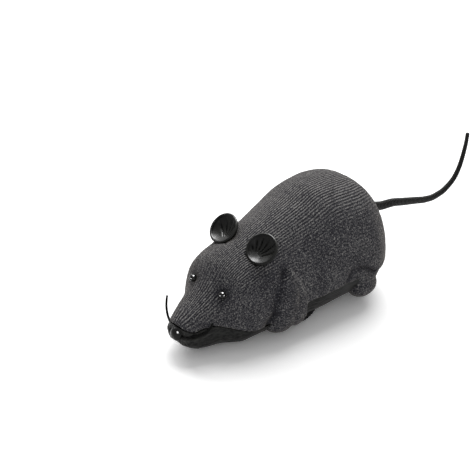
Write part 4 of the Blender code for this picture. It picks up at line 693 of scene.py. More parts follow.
def box_between(low: Vector, high: Vector) -> Item:
    """Make a box between two corners."""
    place = Matrix.Translation((low + high) / 2) @ Matrix.Diagonal((*[abs(c) for c in high - low], 1))
    return primitive(place, bpy.ops.mesh.primitive_cube_add, size=1)


def rod_between(low: Vector, high: Vector, radius: float, sides: int = 40) -> Item:
    """Make a round rod from one point to another."""
    place = frame_at((low + high) / 2, (high - low).normalized())
    return primitive(place, bpy.ops.mesh.primitive_cylinder_add, vertices=sides, radius=radius,
                     depth=(high - low).length)


def ball(centre: Vector, radii: Sequence[float], turn: Matrix | None = None, segments: int = 48) -> Item:
    """Make an ellipsoid."""
    place = Matrix.Translation(centre) @ (turn or Matrix.Identity(4)) @ Matrix.Diagonal((*radii, 1))
    return primitive(place, bpy.ops.mesh.primitive_uv_sphere_add, segments=segments, ring_count=segments // 2, radius=1)


def joined(items: Iterable[Item]) -> Item:
    """Join several objects into the first one."""
    items = list(items)
    select_only(items[0])
    for item in items[1:]:
        item.select_set(True)
    bpy.ops.object.join()
    return items[0]


@dataclass
class FlockedShell:
    """The flocked upper shell with its arms, paws, haunches and feet."""

    form: BodyForm
    voxel: float = 0.00054
    wall: float = 0.002
    arm: tuple = (0.0510, 0.02198, 0.0207)
    arm_radii: tuple = (0.0092, 0.0076, 0.0156)
    arm_lean: float = math.radians(12)
    arm_tuck: float = math.radians(10)
    elbow: tuple = (0.0560, 0.0257, 0.0142)
    elbow_radii: tuple = (0.0066, 0.0045, 0.0080)
    paw: tuple = (0.0485, 0.02148, 0.0100)
    paw_radii: tuple = (0.0080, 0.0066, 0.0054)
    foot: tuple = (0.1010, 0.02835, 0.0109)
    foot_radii: tuple = (0.0088, 0.0066, 0.0066)
    haunch: tuple = (0.1015, 0.02735, 0.0180)
    haunch_radii: tuple = (0.0100, 0.0072, 0.0085)
    ridge: tuple = ((0.0545, 0.0225, 0.0365), (0.0580, 0.0262, 0.0290), (0.0597, 0.0284, 0.0198),
                    (0.0590, 0.0286, 0.0120))
    ridge_height: float = 0.0010
    ridge_width: float = 0.0011
    # The painted highlight along the arm's rear ridge: its strength and width.
    ridge_light: float = 0.16
    ridge_light_width: float = 0.0009
    crease: tuple = ((0.0514, 0.0213, 0.0356), (0.0458, 0.0240, 0.0264), (0.0431, 0.0248, 0.0183),
                     (0.0390, 0.0240, 0.0140))
    crease_depth: float = 0.0012
    crease_width: float = 0.0019
    haunch_crease: tuple = ((0.0850, 0.0333, 0.0215), (0.0880, 0.0337, 0.0261), (0.0960, 0.0342, 0.0249),
                            (0.1030, 0.0349, 0.0200))
    haunch_crease_depth: float = 0.0008
    haunch_crease_width: float = 0.0013
    ear_slot: tuple = ((0.0407, 0.0069), (0.0409, 0.0140))
    ear_slot_depth: float = 0.0009
    ear_slot_width: float = 0.00055
    brow_depth: float = 0.0007
    brow_reach: float = 0.0036
    # Shares of painted shade in the crease, the haunch crease, the brow and the ear slot.
    shades: tuple = (0.30, 0.34, 0.30, 0.45)
    # The next three set how strongly the flock's ribs, with their relief and painted shade, show: most on upward-facing
    # skin and towards the head.
    rib_shade_range: tuple = (0.14, 0.86)
    rib_shade_rise: tuple = (0.60, 0.34)
    rib_shade_head: tuple = (0.050, 0.015, 0.14)
    eye_radius: float = 0.0022
    tail_hole: float = 0.0030
    tail_hole_depth: float = 0.02
    slot: tuple = (0.0556, 0.0804, 0.0159, 0.0220, 0.0115)
    clump_height: float = 0.00012
    clump_scale: tuple = (260, 620, 620)
    ear_dip: float = 0.0026
    ear_dip_reach: float = 0.0058
    ear_dip_place: tuple = (-0.0034, -0.0036, -0.0040)

    def limb_balls(self, side: Side) -> list[Item]:
        """Return the arm, elbow, paw, foot and haunch of one side."""
        sign = side.value
        lean = Matrix.Rotation(sign * self.arm_tuck, 4, "X") @ Matrix.Rotation(-self.arm_lean, 4, "Y")
        out = []
        for (back, aside, height), radii, turn in (
                (self.arm, self.arm_radii, lean), (self.elbow, self.elbow_radii, None),
                (self.paw, self.paw_radii, None), (self.foot, self.foot_radii, None),
                (self.haunch, self.haunch_radii, None)):
            out.append(ball(self.form.at(back, sign * aside, height), radii, turn))
        return out

    def outside(self) -> Item:
        """Blend the body above the seam with its limbs into one skin."""
        body = self.form.loft("flocked_shell", rings=150, sides=144, inset=lambda share: 0.0, domed=True)
        combine(body, "DIFFERENCE", self.form.seam_block("below", False))
        limbs = [b for side in Side for b in self.limb_balls(side)]
        body = joined([body, *limbs])
        apply_modifier(body, "REMESH", mode="VOXEL", voxel_size=self.voxel, adaptivity=0.0)
        apply_modifier(body, "SMOOTH", factor=0.5, iterations=4)
        return body

    def dip_at_ears(self, item: Item) -> None:
        """Sink the head a little where the ears stand on it."""
        points, normals = points_of(item.data), normals_of(item.data)
        middle = Ears(self.form).frame(Side.LEFT) @ Vector(self.ear_dip_place)
        local = np.column_stack((points[:, 0], np.abs(points[:, 1]), points[:, 2]))
        near = bell(np.linalg.norm(local - np.array(middle), axis=1), self.ear_dip_reach)
        move_points(item.data, points - normals * (self.ear_dip * near)[:, None])

    def carve(self, item: Item) -> None:
        """Raise the arm's rear ridge and sink the creases, and keep the painted shade of the creases, brow and ear
        slots, less a painted highlight along the ridge.
        """
        points, normals = points_of(item.data), normals_of(item.data)
        local = np.column_stack((self.form.nose_x - points[:, 0], np.abs(points[:, 1]), points[:, 2]))
        ridge = near_line(local, self.ridge)
        crease = bell(near_line(local, self.crease), self.crease_width)
        haunch = bell(near_line(local, self.haunch_crease), self.haunch_crease_width)
        on_top = points[:, 2] > self.form.height / 2
        slot = bell(near_line(local[:, :2], self.ear_slot), self.ear_slot_width) * on_top
        eye = np.array([self.form.eye[0], *self.form.skin(*self.form.eye)[1:]])
        brow = bell(np.linalg.norm(local - eye, axis=1), self.brow_reach)
        lift = self.ridge_height * bell(ridge, self.ridge_width)
        sink = self.crease_depth * crease + self.haunch_crease_depth * haunch + self.brow_depth * brow
        sink = sink + self.ear_slot_depth * slot + self.form.groove_at_nose(points)
        clumps = self.clump_height * noise_at(points, self.clump_scale)
        move_points(item.data, points + normals * (lift - sink + clumps)[:, None])
        # Painted shade in the creases, brow and ear slots, with a painted highlight along the arm's ridge taken off it.
        shade = sum(share * mark for share, mark in zip(self.shades, (crease, haunch, brow, slot)))
        store(item.data, "hollow", shade - self.ridge_light * bell(ridge, self.ridge_light_width))

    def flow(self, item: Item) -> None:
        """Keep where each point lies round the body, which the flock's ribs follow, and how strongly the ribs' relief
        and painted shade show, most where the skin faces up and on the head.
        """
        points, normals = points_of(item.data), normals_of(item.data)
        share = np.clip((self.form.nose_x - points[:, 0]) / self.form.length, 0, 1)
        half, top, waist, _ = self.form.section(share)
        side, rise = points[:, 1] / half, (points[:, 2] - waist) / (top - waist)
        girth = np.sqrt(half * (top - waist))
        store(item.data, "around", np.arctan2(rise, side))
        store(item.data, "girth", girth)
        # How strongly the ribs' relief and painted shade show: most where the skin faces up, and on the head.
        end, width, gain = self.rib_shade_head
        head = fade(end - self.form.length * share, width)
        (least, more), (start, rise) = self.rib_shade_range, self.rib_shade_rise
        store(item.data, "rib_relief_and_shade", least + more * fade(normals[:, 2] - start + gain * head, rise))

    def build(self) -> Item:
        """Build the shell and put it on the body."""
        item = self.outside()
        self.dip_at_ears(item)
        self.carve(item)
        self.flow(item)
        wall = self.wall
        inside = self.form.loft("inside", rings=70, sides=64, inset=lambda share: wall, floor=wall, roof=wall,
                                ends=wall, first=self.form.hollow_start)
        self.dip_at_ears(inside)
        start, way = Tail(self.form).root()
        tools = [rod_between(start, start + way * self.tail_hole_depth, self.tail_hole)]
        for side in Side:
            tools.append(ball(self.form.eye_centre(side)[0], [self.eye_radius] * 3, segments=24))
            front, rear, inner, outer, roof = self.slot
            tools.append(box_between(self.form.at(rear, side.value * inner, -MM),
                                     self.form.at(front, side.value * outer, roof)))
        combine(item, "DIFFERENCE", inside, joined(tools))
        item.name = "flocked_shell"
        return finish_piece(item, VELVET.material(), "body", "flock", "body_shell", sharp=60)


@dataclass
class LowerBody:
    """The black plastic jaw, skirts and belly, with the bay, posts and saddles that stand in it."""

    form: BodyForm
    skirt_inset: float = 0.0015
    jaw_inset: float = 0.0004
    inset_rise: tuple = (0.30, 0.16)
    wall: float = 0.0016
    gap: float = 0.0003
    mouth: tuple = ((0.0020, 0.0138), (0.0056, 0.0143), (0.0089, 0.0148), (0.0116, 0.0160), (0.0138, 0.0172))
    mouth_depth: float = 0.0011
    mouth_width: float = 0.0005
    lip_height: float = 0.0005
    chin_lift: float = 0.0012
    lip_drop: float = 0.0014
    lip_width: float = 1.6
    # Shares of the painted highlight on the lip, the painted shade in the slit and the painted shade round the nose.
    painted_shade_and_light_shares: tuple = (0.8, 1.1, 0.8)
    chin_back: tuple = (0.0090, 0.0050)
    chin_top: tuple = (0.0110, 0.0040)
    hair_depth: float = 0.00016
    hair_scale: tuple = (120, 900, 900)
    floor_height: float = 0.0056
    bay: tuple = (0.08865, 0.11135, 0.0249, 0.01975)
    bay_wall: float = 0.0011
    tab: tuple = (0.0050, 0.0038, 0.0052)
    tab_screw_back: float = 0.08615
    posts: tuple = ((0.0370, 0.01148, 0.0135), (0.1158, 0.01099, 0.01998))
    post_radius: float = 0.0030
    standoff_radius: float = 0.0014
    standoff_inset: float = 0.0022
    screw_radius: float = 0.00115
    screw_top: float = 0.04
    head_radius: float = 0.0023
    head_seat: float = 0.0012
    tab_seat: float = 0.0010
    tyre_room: tuple = (0.0009, 0.0006, 0.004)
    tyre_room_top: float = 0.0075
    switch_slot: tuple = (0.0014, 0.0044, 0.0011, 0.0115)
    motor_radius: float = 0.00805
    motor_reach: float = 0.0084
    saddle: tuple = (0.0050, 0.0014, 0.0062, 0.0036)
    caster_back: float = 0.01275
    caster_room: tuple = (0.0054, 0.0076, 0.0012)
    stem: tuple = (0.0026, 0.0112, 0.00135)
    rear_foot: tuple = (0.1135, 0.1175, 0.0040, 0.0010)
    foot_lift: float = 0.1 * MM
    foot_taper_height: float = 0.001

    def inset(self, share: float) -> float:
        """Return the side inset, small along the jaw and full behind the arms."""
        start, rise = self.inset_rise
        t = min(max((share - start) / rise, 0), 1)
        return self.jaw_inset + (self.skirt_inset - self.jaw_inset) * t * t * (3 - 2 * t)

    def block(self, front: float, rear: float, side: tuple[float, float], low: float, high: float) -> Item:
        """Make a box between two places behind the nose, two sides and two heights."""
        return box_between(self.form.at(rear, min(side), low), self.form.at(front, max(side), high))

    def rod(self, back: float, side: float, low: float, high: float, radius: float) -> Item:
        """Make an upright rod."""
        return rod_between(self.form.at(back, side, low), self.form.at(back, side, high), radius)

    def lips(self, item: Item) -> None:
        """Sink the mouth's slit along both sides of the muzzle, raise the lip below it and draw the chin in, and keep a
        painted highlight on the lip and painted shade in the slit and round the nose.
        """
        points, normals = points_of(item.data), normals_of(item.data)
        flat = np.column_stack((self.form.nose_x - points[:, 0], points[:, 2]))
        slit = bell(near_line(flat, self.mouth), self.mouth_width)
        lower = [(back, height - self.lip_drop) for back, height in self.mouth]
        lip = bell(near_line(flat, lower), self.lip_width * self.mouth_width)
        nose = self.form.groove_at_nose(points)
        (back, reach), (top, drop) = self.chin_back, self.chin_top
        chin = fade(back - flat[:, 0], reach) * fade(top - flat[:, 1], drop)
        hair = self.hair_depth * noise_at(points, self.hair_scale)
        points = points + normals * (self.lip_height * lip - self.mouth_depth * slit - nose + hair)[:, None]
        points[:, 2] += self.chin_lift * chin
        move_points(item.data, points)
        # Painted highlight on the lip, painted shade in the slit and in the groove round the nose.
        pale, dark, round_nose = self.painted_shade_and_light_shares
        painted_shade_and_light = pale * lip - dark * slit - round_nose * nose / self.form.nose_groove
        store(item.data, "painted_shade_and_light", np.clip(painted_shade_and_light, -1, 1))

    def foot(self) -> Item:
        """Make the small foot under the rump, wider at its root."""
        front, rear, half, taper = self.rear_foot
        low = float(self.form.read("low", rear / self.form.length))
        item = self.block(front, rear, (-half, half), self.foot_lift, low + self.wall)
        for point in item.data.vertices:
            if point.co.z > self.foot_taper_height:
                point.co.x += math.copysign(taper, point.co.x - self.form.at((front + rear) / 2).x)
        return item

    def insides(self) -> Item:
        """Make what stands inside, trimmed to the inner side of the skin."""
        front, rear, half, roof = self.bay
        wall, (reach, tab_half, boss) = self.bay_wall, self.tab
        bay = self.block(front - wall, rear + wall, (-half - wall, half + wall), self.form.belly, roof + wall)
        blocks = [self.block(front - reach, front, (-tab_half, tab_half), self.floor_height, self.floor_height + boss)]
        low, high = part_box("circuit_board")
        for x in (low.x + self.standoff_inset, high.x - self.standoff_inset):
            for y in (low.y + self.standoff_inset, high.y - self.standoff_inset):
                foot, top = Vector((x, y, roof)), Vector((x, y, low.z - self.gap))
                blocks.append(rod_between(foot, top, self.standoff_radius))
        radius, recess_roof, recess_wall = self.caster_room
        stem_radius, stem_top, _ = self.stem
        housing = self.rod(self.caster_back, 0, 0, recess_roof + recess_wall, radius + recess_wall)
        blocks.append(self.rod(self.caster_back, 0, recess_roof, stem_top, stem_radius))
        others = [self.rod(back, side.value * aside, 0, top - self.gap, self.post_radius)
                  for back, aside, top in self.posts for side in Side]
        start, thick, saddle_half, drop = self.saddle
        for side in Side:
            middle = box_and_middle(f"{side.word}_motor_can")[2]
            for inner in (start, -start - thick):
                others.append(box_between(Vector((middle.x - saddle_half, inner, self.form.belly)),
                                          Vector((middle.x + saddle_half, inner + thick, middle.z - drop))))
        whole = joined([bay, housing, *others])
        combine(whole, "UNION", joined(blocks))
        deep = self.wall / 2
        combine(whole, "INTERSECT", self.form.loft("guide", rings=40, sides=48, inset=lambda s: self.inset(s) + deep,
                                                   floor=deep, roof=self.wall, ends=deep))
        return whole

    def openings(self) -> list[Item]:
        """Make the cutters for all that passes through or sits in the lower body, in groups that stand apart."""
        front, rear, half, roof = self.bay
        reach, tab_half, boss = self.tab
        head = self.floor_height + boss - self.tab_seat
        bay = self.block(front, rear, (-half, half), -MM, roof)
        tab = self.block(front - reach, front + self.bay_wall, (-tab_half, tab_half), -MM,
                         self.floor_height + self.gap / 2)
        pilot = self.rod(self.tab_screw_back, 0, 0, head, self.screw_radius)
        radius, recess_roof, _ = self.caster_room
        far = [self.rod(self.caster_back, 0, -MM, recess_roof, radius), bay]
        near = [self.rod(self.caster_back, 0, recess_roof - MM, 0.03, self.stem[2]), tab]
        for word in ("front_left", "front_right", "rear_left", "rear_right"):
            low, _, middle = box_and_middle(f"{word}_case_screw")
            for group, start, end, thick in ((far, -MM, low.z + self.head_seat, self.head_radius),
                                             (near, low.z, self.screw_top, self.screw_radius)):
                group.append(rod_between(Vector((middle.x, middle.y, start)), Vector((middle.x, middle.y, end)), thick))
        for side in Side:
            low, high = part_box(f"{side.word}_tyre")
            room = Vector(self.tyre_room)
            far.append(box_between(low - room, Vector((high.x, high.y, self.tyre_room_top)) + room))
        middle = box_and_middle("switch_slider")[2]
        front, rear, half, roof = self.switch_slot
        far.append(box_between(Vector((middle.x - front, -half, -MM)), Vector((middle.x + rear, half, roof))))
        return [joined(far), joined(near), pilot]

    def build(self) -> Item:
        """Build the lower body with its inside and its openings."""
        item = self.form.loft("lower_body", rings=280, sides=180, inset=self.inset, domed=True)
        self.lips(item)
        wall = self.wall
        hollow = self.form.loft("hollow", rings=30, sides=40, inset=lambda s: self.inset(s) + wall, floor=wall,
                                roof=wall, ends=wall, first=self.form.hollow_start)
        combine(item, "DIFFERENCE", self.form.seam_block("above", True, -self.gap), hollow)
        combine(item, "UNION", joined([self.insides(), self.foot()]))
        motors = []
        for side in Side:
            middle = box_and_middle(f"{side.word}_motor_can")[2]
            ends = [Vector((middle.x, y, middle.z)) for y in (-self.motor_reach, self.motor_reach)]
            motors.append(rod_between(*ends, self.motor_radius))
        combine(item, "DIFFERENCE", *self.openings(), joined(motors))
        return finish_piece(item, CHASSIS_ABS.material(), "body", "black_plastic", "chassis", sharp=30)


@dataclass
class Face:
    """The nose, the two bead eyes and the whiskers."""

    form: BodyForm
    nostril: tuple = (0.0019, 0.0015, 0.0004)
    nostril_radius: float = 0.00055
    nostril_depth: float = 0.0005
    cleft_width: float = 0.0003
    cleft_depth: float = 0.0002
    cleft_top: float = 0.0002
    eye_radius: float = 0.0019
    shank_cosine: float = -0.90
    shank_length: float = 0.002
    root: tuple = (0.0048, 0.0055, 0.0146)
    sweep: tuple = (0.0062, 0.0105, 0.0088)
    bow: float = 0.0020
    whisker_radius: float = 0.00062
    whisker_tip: float = 0.00052
    whisker_steps: int = 24

    def nose(self) -> Item:
        """Model the nose from a sphere, with two nostril dents and a cleft."""
        centre = self.form.at(*self.form.nose)
        item = ball(centre, self.form.nose_radii, segments=72)
        item.name = "nose_tip"
        points, normals = points_of(item.data), normals_of(item.data)
        local = points - np.array(centre)
        for sign in (1, -1):
            spot = np.array(self.nostril) * (1, sign, 1)
            near = bell(np.linalg.norm(local - spot, axis=1), self.nostril_radius)
            points = points - normals * (self.nostril_depth * near)[:, None]
        cleft = bell(local[:, 1], self.cleft_width) * (local[:, 2] < self.cleft_top) * (local[:, 0] > 0)
        move_points(item.data, points - normals * (self.cleft_depth * cleft)[:, None])
        return finish_piece(item, NOSE_GLOSS.material(), "body", "gloss_black", "nose")

    def eye(self, side: Side, material: Material) -> Item:
        """Model one eye as a bead with a short shank behind."""
        centre, normal = self.form.eye_centre(side)
        bead = ball(centre, [self.eye_radius] * 3, segments=56)
        bead.name = f"{side.word}_eye_bead"
        select_only(bead)
        bpy.ops.object.mode_set(mode="EDIT")
        bpy.ops.mesh.select_all(action="DESELECT")
        bpy.ops.object.mode_set(mode="OBJECT")
        for face in bead.data.polygons:
            face.select = (face.center - centre).normalized().dot(normal) < self.shank_cosine
        bpy.ops.object.mode_set(mode="EDIT")
        bpy.ops.mesh.select_mode(type="FACE")
        shank = tuple(-normal * self.shank_length)
        bpy.ops.mesh.extrude_region_move(TRANSFORM_OT_translate={"value": shank})
        bpy.ops.object.mode_set(mode="OBJECT")
        return finish_piece(bead, material, "body", "gloss_black", f"{side.word}_eye")

    def whisker(self, side: Side, material: Material) -> Item:
        """Model one whisker as a tapering curve, made a mesh."""
        sign = side.value
        start = self.form.at(self.root[0], sign * self.root[1], self.root[2])
        way = Vector((-self.sweep[0], sign * self.sweep[1], self.sweep[2]))
        bow = Vector((0, sign * self.bow, -self.bow))
        count = self.whisker_steps
        points = [start + way * t + bow * (4 * t * (1 - t)) for t in (k / count for k in range(count + 1))]
        radii = [self.whisker_radius + (self.whisker_tip - self.whisker_radius) * k / count for k in range(count + 1)]
        item = tube(f"{side.word}_bristle", points, radii, sides=12)
        return finish_piece(item, material, "body", "soft_black", f"{side.word}_whisker")

    def build(self) -> list[Item]:
        """Build the nose, eyes and whiskers, and return the polished ones."""
        glass, bristle = EYE_GLOSS.material(), WHISKER_NYLON.material()
        for side in Side:
            self.whisker(side, bristle)
        return [self.nose(), *(self.eye(side, glass) for side in Side)]


def tube(name: str, points: Sequence[Vector], radii: Sequence[float], sides: int) -> Item:
    """Make a closed tube along points, with a radius at each and so many sides."""
    out, across = [], None
    for k, point in enumerate(points):
        ahead = (points[min(k + 1, len(points) - 1)] - points[max(k - 1, 0)]).normalized()
        across = ahead.orthogonal() if across is None else across
        across = (across - ahead * across.dot(ahead)).normalized()
        up = ahead.cross(across)
        for j in range(sides):
            angle = math.tau * j / sides
            out.append(point + radii[k] * (math.cos(angle) * across + math.sin(angle) * up))
    return skin_over(name, out, sides)


@dataclass
class Ears:
    """The two dished ears, with their rolled rims and fanned folds."""

    form: BodyForm
    radius: float = 0.0080
    widening: float = 1.04
    depth: float = 0.0030
    thickness: float = 0.0012
    back: float = 0.0451
    side: float = 0.0131
    height: float = 0.0480
    facing: tuple = (0.687, 0.099, 0.720)
    folds: int = 20
    fold_foot: tuple = (0.34, -0.62)
    fold_depth: float = 0.00030
    fold_press: float = 2.2
    fold_swing: tuple = (0.35, 3)
    fold_edge: tuple = (0.86, 0.12)
    fold_near: tuple = (0.22, 0.3)
    fold_far: tuple = (1.62, 0.5)
    fold_spread: float = 1.15
    # Painted shade and light: across the folds, in a line inside the rim and on the rim's outer edge.
    fold_shade: tuple = (0.40, 1.4)
    rim_shade: tuple = (0.88, 0.045)
    rim_light: tuple = (0.94, 0.03)
    rim_start: float = 0.90
    rim_rise: float = 0.55
    rim_arc: tuple = (150, 230)
    back_start: float = 0.94
    rim: float = 0.0007
    neck: tuple = (0.0034, 0.0011, 0.0085)
    neck_start: tuple = (0.0, -0.0046, -0.0026)

    def frame(self, side: Side) -> Matrix:
        """Return the ear's frame: X across it, Y up it and Z the way it faces."""
        facing = Vector((self.facing[0], side.value * self.facing[1], self.facing[2])).normalized()
        across = Vector((0, 0, 1)).cross(facing).normalized()
        turn = Matrix((across, facing.cross(across), facing)).transposed().to_4x4()
        return Matrix.Translation(self.form.at(self.back, side.value * self.side, self.height)) @ turn

    def profile(self) -> list[tuple[float, float]]:
        """Return the dish's section from its front centre over the rim to its back centre."""
        front = [(self.radius * t, self.depth * (t * t - 1)) for t in np.linspace(0, self.rim_start, 30)]
        rim = []
        edge_r, edge_h = self.radius - self.rim, self.depth * (self.rim_start ** 2 - 1) + self.rim * self.rim_rise
        for k in range(13):
            angle = math.radians(self.rim_arc[0] - self.rim_arc[1] * k / 12)
            rim.append((edge_r + self.rim * math.cos(angle), edge_h + self.rim * math.sin(angle)))
        back = [(self.radius * t, self.depth * (t * t - 1) - self.thickness)
                for t in np.linspace(self.back_start, 0, 24)]
        return front + rim + back

    def root(self, side: Side) -> Item:
        """Make the flat neck that carries the dish, with bevelled edges."""
        half_width, half_thickness, length = self.neck
        start = self.frame(side) @ Vector(self.neck_start)
        item = rod_between(start, start - Vector((0, 0, length)), 1.0, 32)
        across = self.frame(side).to_3x3() @ Vector((1, 0, 0))
        along = Vector((0, 0, 1)).cross(across)
        for point in item.data.vertices:
            offset = Vector((point.co.x - start.x, point.co.y - start.y, 0))
            moved = across * offset.dot(across) * half_width + along * offset.dot(along) * half_thickness
            point.co = Vector((start.x, start.y, point.co.z)) + moved
        return item

    def ear(self, side: Side, material: Material) -> Item:
        """Model one ear with the spin operator, then press its folds in, and keep painted shade and light across the
        folds, painted shade inside the rim and a painted highlight on its outer edge.
        """
        item = lathe(f"{side.word}_ear_dish", self.profile(), 144)
        points = points_of(item.data)
        reach = np.hypot(points[:, 0], points[:, 1]) / self.radius
        foot = np.array((-side.value * self.fold_foot[0], self.fold_foot[1])) * self.radius
        spoke = np.arctan2(points[:, 0] - foot[0], points[:, 1] - foot[1])
        far = np.hypot(points[:, 0] - foot[0], points[:, 1] - foot[1]) / self.radius
        front = points[:, 2] > self.depth * (reach ** 2 - 1) - self.thickness / 2
        swing, turns = self.fold_swing
        fan = np.abs(np.sin(spoke * self.folds * 0.5 + swing * np.sin(spoke * turns)))
        (edge, rise), (near, clear), (end, fall) = self.fold_edge, self.fold_near, self.fold_far
        mask = front * fade(edge - reach, rise) * fade(far - near, clear)
        mask = mask * fade(end - far, fall) * (np.abs(spoke) < self.fold_spread)
        points[:, 2] -= self.fold_depth * (1 - fan) ** 2 * mask * self.fold_press
        points[:, 0] *= self.widening
        move_points(item.data, points)
        # Painted shade and light across the folds, painted shade in a line inside the rim, a painted highlight on its
        # outer edge.
        level, gain = self.fold_shade
        dark = bell(reach - self.rim_shade[0], self.rim_shade[1])
        pale = fade(reach - self.rim_light[0], self.rim_light[1])
        store(item.data, "painted_shade_and_light", front * ((fan - level) * mask * gain - dark) + pale)
        item.data.transform(self.frame(side))
        combine(item, "UNION", self.root(side))
        return finish_piece(item, material, "body", "soft_black", f"{side.word}_ear", sharp=50)

    def build(self) -> list[Item]:
        """Build and return both ears."""
        vinyl = EAR_VINYL.material()
        return [self.ear(side, vinyl) for side in Side]


@dataclass
class Tail:
    """The ribbed vinyl tail, whose tip curls up, and the flange that holds it in the shell."""

    form: BodyForm
    reach: float = 0.096
    tip_height: float = 0.044
    root_radius: float = 0.0029
    tip_radius: float = 0.00115
    flange_radius: float = 0.0042
    flange_thickness: float = 0.0012
    rib_pitch: float = 0.00125
    rib_depth: float = 0.00034
    points_per_rib: int = 6
    rib_sharpness: float = 0.6
    fine_steps: int = 1200
    root_step: float = 0.01
    flange_step: float = 0.15 * MM
    sides: int = 28
    reaches: tuple = (-0.088, 0, 0.12, 0.236, 0.333, 0.434, 0.55, 0.64, 0.723, 0.792, 0.853, 0.899, 0.936, 0.961,
                      0.983, 0.996, 1)
    heights: tuple = (0.83, 0.765, 0.675, 0.585, 0.545, 0.475, 0.395, 0.333, 0.303, 0.311, 0.352, 0.409, 0.498, 0.605,
                      0.757, 0.893, 1)

    def point(self, share: float) -> Vector:
        """Return the middle line at a share of the tail's run."""
        places = np.linspace(0, 1, len(self.reaches))
        reach = smooth_table(places, self.reaches, share) * (self.reach - self.tip_radius)
        height = smooth_table(places, self.heights, share) * self.tip_height
        return self.form.at(self.form.length + reach, 0, height)

    def root(self) -> tuple[Vector, Vector]:
        """Return where the tail starts and the way it leaves the rump."""
        return self.point(0), (self.point(self.root_step) - self.point(0)).normalized()

    def middle_line(self) -> list[Vector]:
        """Return evenly spaced points of the middle line, a few to each rib."""
        fine = [self.point(t) for t in np.linspace(0, 1, self.fine_steps)]
        run = np.concatenate(([0], np.cumsum([(b - a).length for a, b in zip(fine, fine[1:])])))
        count = int(run[-1] / self.rib_pitch) * self.points_per_rib
        grid = np.array([[*p] for p in fine])
        return [Vector([float(np.interp(s, run, grid[:, k])) for k in range(3)])
                for s in np.linspace(0, run[-1], count + 1)]

    def build(self) -> Item:
        """Build the tail with rounded ribs and a rounded tip, with painted shade between the ribs and a painted
        highlight on their crests.
        """
        points = self.middle_line()
        count = len(points) - 1
        radii, painted_shade_and_light = [], []
        for k in range(count + 1):
            radius = self.root_radius + (self.tip_radius - self.root_radius) * k / count
            wave = abs(math.sin(math.pi * k / self.points_per_rib)) ** self.rib_sharpness
            radii.append(radius - self.rib_depth * (radius / self.root_radius) * (1 - wave))
            # Painted highlight on each rib's crest, painted shade in the valley between ribs.
            painted_shade_and_light.append(2 * wave - 1)
        start, way = self.root()
        foot = [start - way * self.flange_thickness, start - way * self.flange_step, start]
        points, radii = foot + points[1:], [self.flange_radius] * 2 + [self.root_radius] + radii[1:]
        item = tube("ribbed_tail", points, radii, self.sides)
        store(item.data, "painted_shade_and_light", np.repeat([0, 0, 0, *painted_shade_and_light[1:]], self.sides))
        return finish_piece(item, TAIL_VINYL.material(), "body", "soft_black", "tail", sharp=60)


@dataclass
class DriveWheels:
    """The two drive wheels: treaded rubber tyres on black hubs."""

    radius: float = 0.0115
    width: float = 0.0044
    tyre_depth: float = 0.0030
    rim: float = 0.0012
    boss: float = 0.0024
    bore: float = 0.00095
    web: float = 0.0014
    gap: float = 0.0003
    treads: int = 40
    tread_depth: float = 0.00035
    tread_band: tuple = (0.0012, 0.001)
    tread_share: float = -0.3
    steps_per_tread: int = 6
    hub_steps: int = 72
    tyre_round: float = 0.0008
    hub_round: float = 0.00025

    def place(self, side: Side) -> Matrix:
        """Return the frame of a wheel, from its inner face outwards."""
        low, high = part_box(f"{side.word}_tyre")
        inner = low.y if side is Side.LEFT else high.y
        return frame_at(Vector(((low.x + high.x) / 2, inner, (low.z + high.z) / 2)), Vector((0, side.value, 0)))

    def wheel(self, side: Side, rubber: Material, abs_plastic: Material) -> None:
        """Model one tyre and its hub with the spin operator."""
        hub_radius = self.radius - self.tyre_depth
        corners = [(hub_radius, 0), (self.radius, 0), (self.radius, self.width), (hub_radius, self.width)]
        tyre = lathe(f"{side.word}_tread_tyre", rounded(corners, self.tyre_round), self.treads * self.steps_per_tread)
        points = points_of(tyre.data)
        radius, angle = np.hypot(points[:, 0], points[:, 1]), np.arctan2(points[:, 1], points[:, 0])
        band, width = self.tread_band
        groove = fade(radius - self.radius + band, width) * (np.sin(angle * self.treads) < self.tread_share)
        shrink = 1 - self.tread_depth * groove / radius
        points[:, 0] *= shrink
        points[:, 1] *= shrink
        move_points(tyre.data, points)
        tyre.data.transform(self.place(side))
        finish_piece(tyre, rubber, f"{side.word}_wheel", "tyre_rubber", f"{side.word}_tyre", sharp=30)
        middle, rim = self.width / 2, hub_radius - self.gap - self.rim
        low, high = middle - self.web / 2, middle + self.web / 2
        section = [(self.bore, 0), (self.boss, 0), (self.boss, low), (rim, low), (rim, 0), (rim + self.rim, 0),
                   (rim + self.rim, self.width), (rim, self.width), (rim, high), (self.boss, high),
                   (self.boss, self.width), (self.bore, self.width)]
        hub = lathe(f"{side.word}_hub", rounded(section, self.hub_round, 2), self.hub_steps)
        hub.data.transform(self.place(side))
        finish_piece(hub, abs_plastic, f"{side.word}_wheel", "black_plastic", f"{side.word}_wheel_hub", sharp=30)

    def build(self) -> None:
        """Build both wheels."""
        rubber, plastic = TYRE.material(), HUB_ABS.material()
        for side in Side:
            self.wheel(side, rubber, plastic)


@dataclass
class Works:
    """The pieces of the drive, power and radio that stay as they are in the frame."""

    nodes: dict
    finishes: dict = field(default_factory=lambda: {
        "black_plastic": DOOR_ABS, "soft_black": EAR_VINYL, "steel": STEEL, "brass": BRASS,
        "white_nylon": WHITE_POM, "grey_nylon": GREY_POM, "cell_jacket": CELL_FILM, "board_green": MASK_GREEN,
        "wire_red": PVC_RED})

    def dress(self, record: dict) -> None:
        """Give each node that still shows the finish of its slot in the record."""
        made: dict = {}
        for entry in record["subparts"]:
            item = self.nodes[entry["node"]]
            if item.hide_render:
                continue
            slot = entry["material_slot"]
            if slot not in made:
                made[slot] = self.finishes[slot].material()
            item.data.materials.clear()
            item.data.materials.append(made[slot])
            log.info("%s: %s", item.name, made[slot].name)


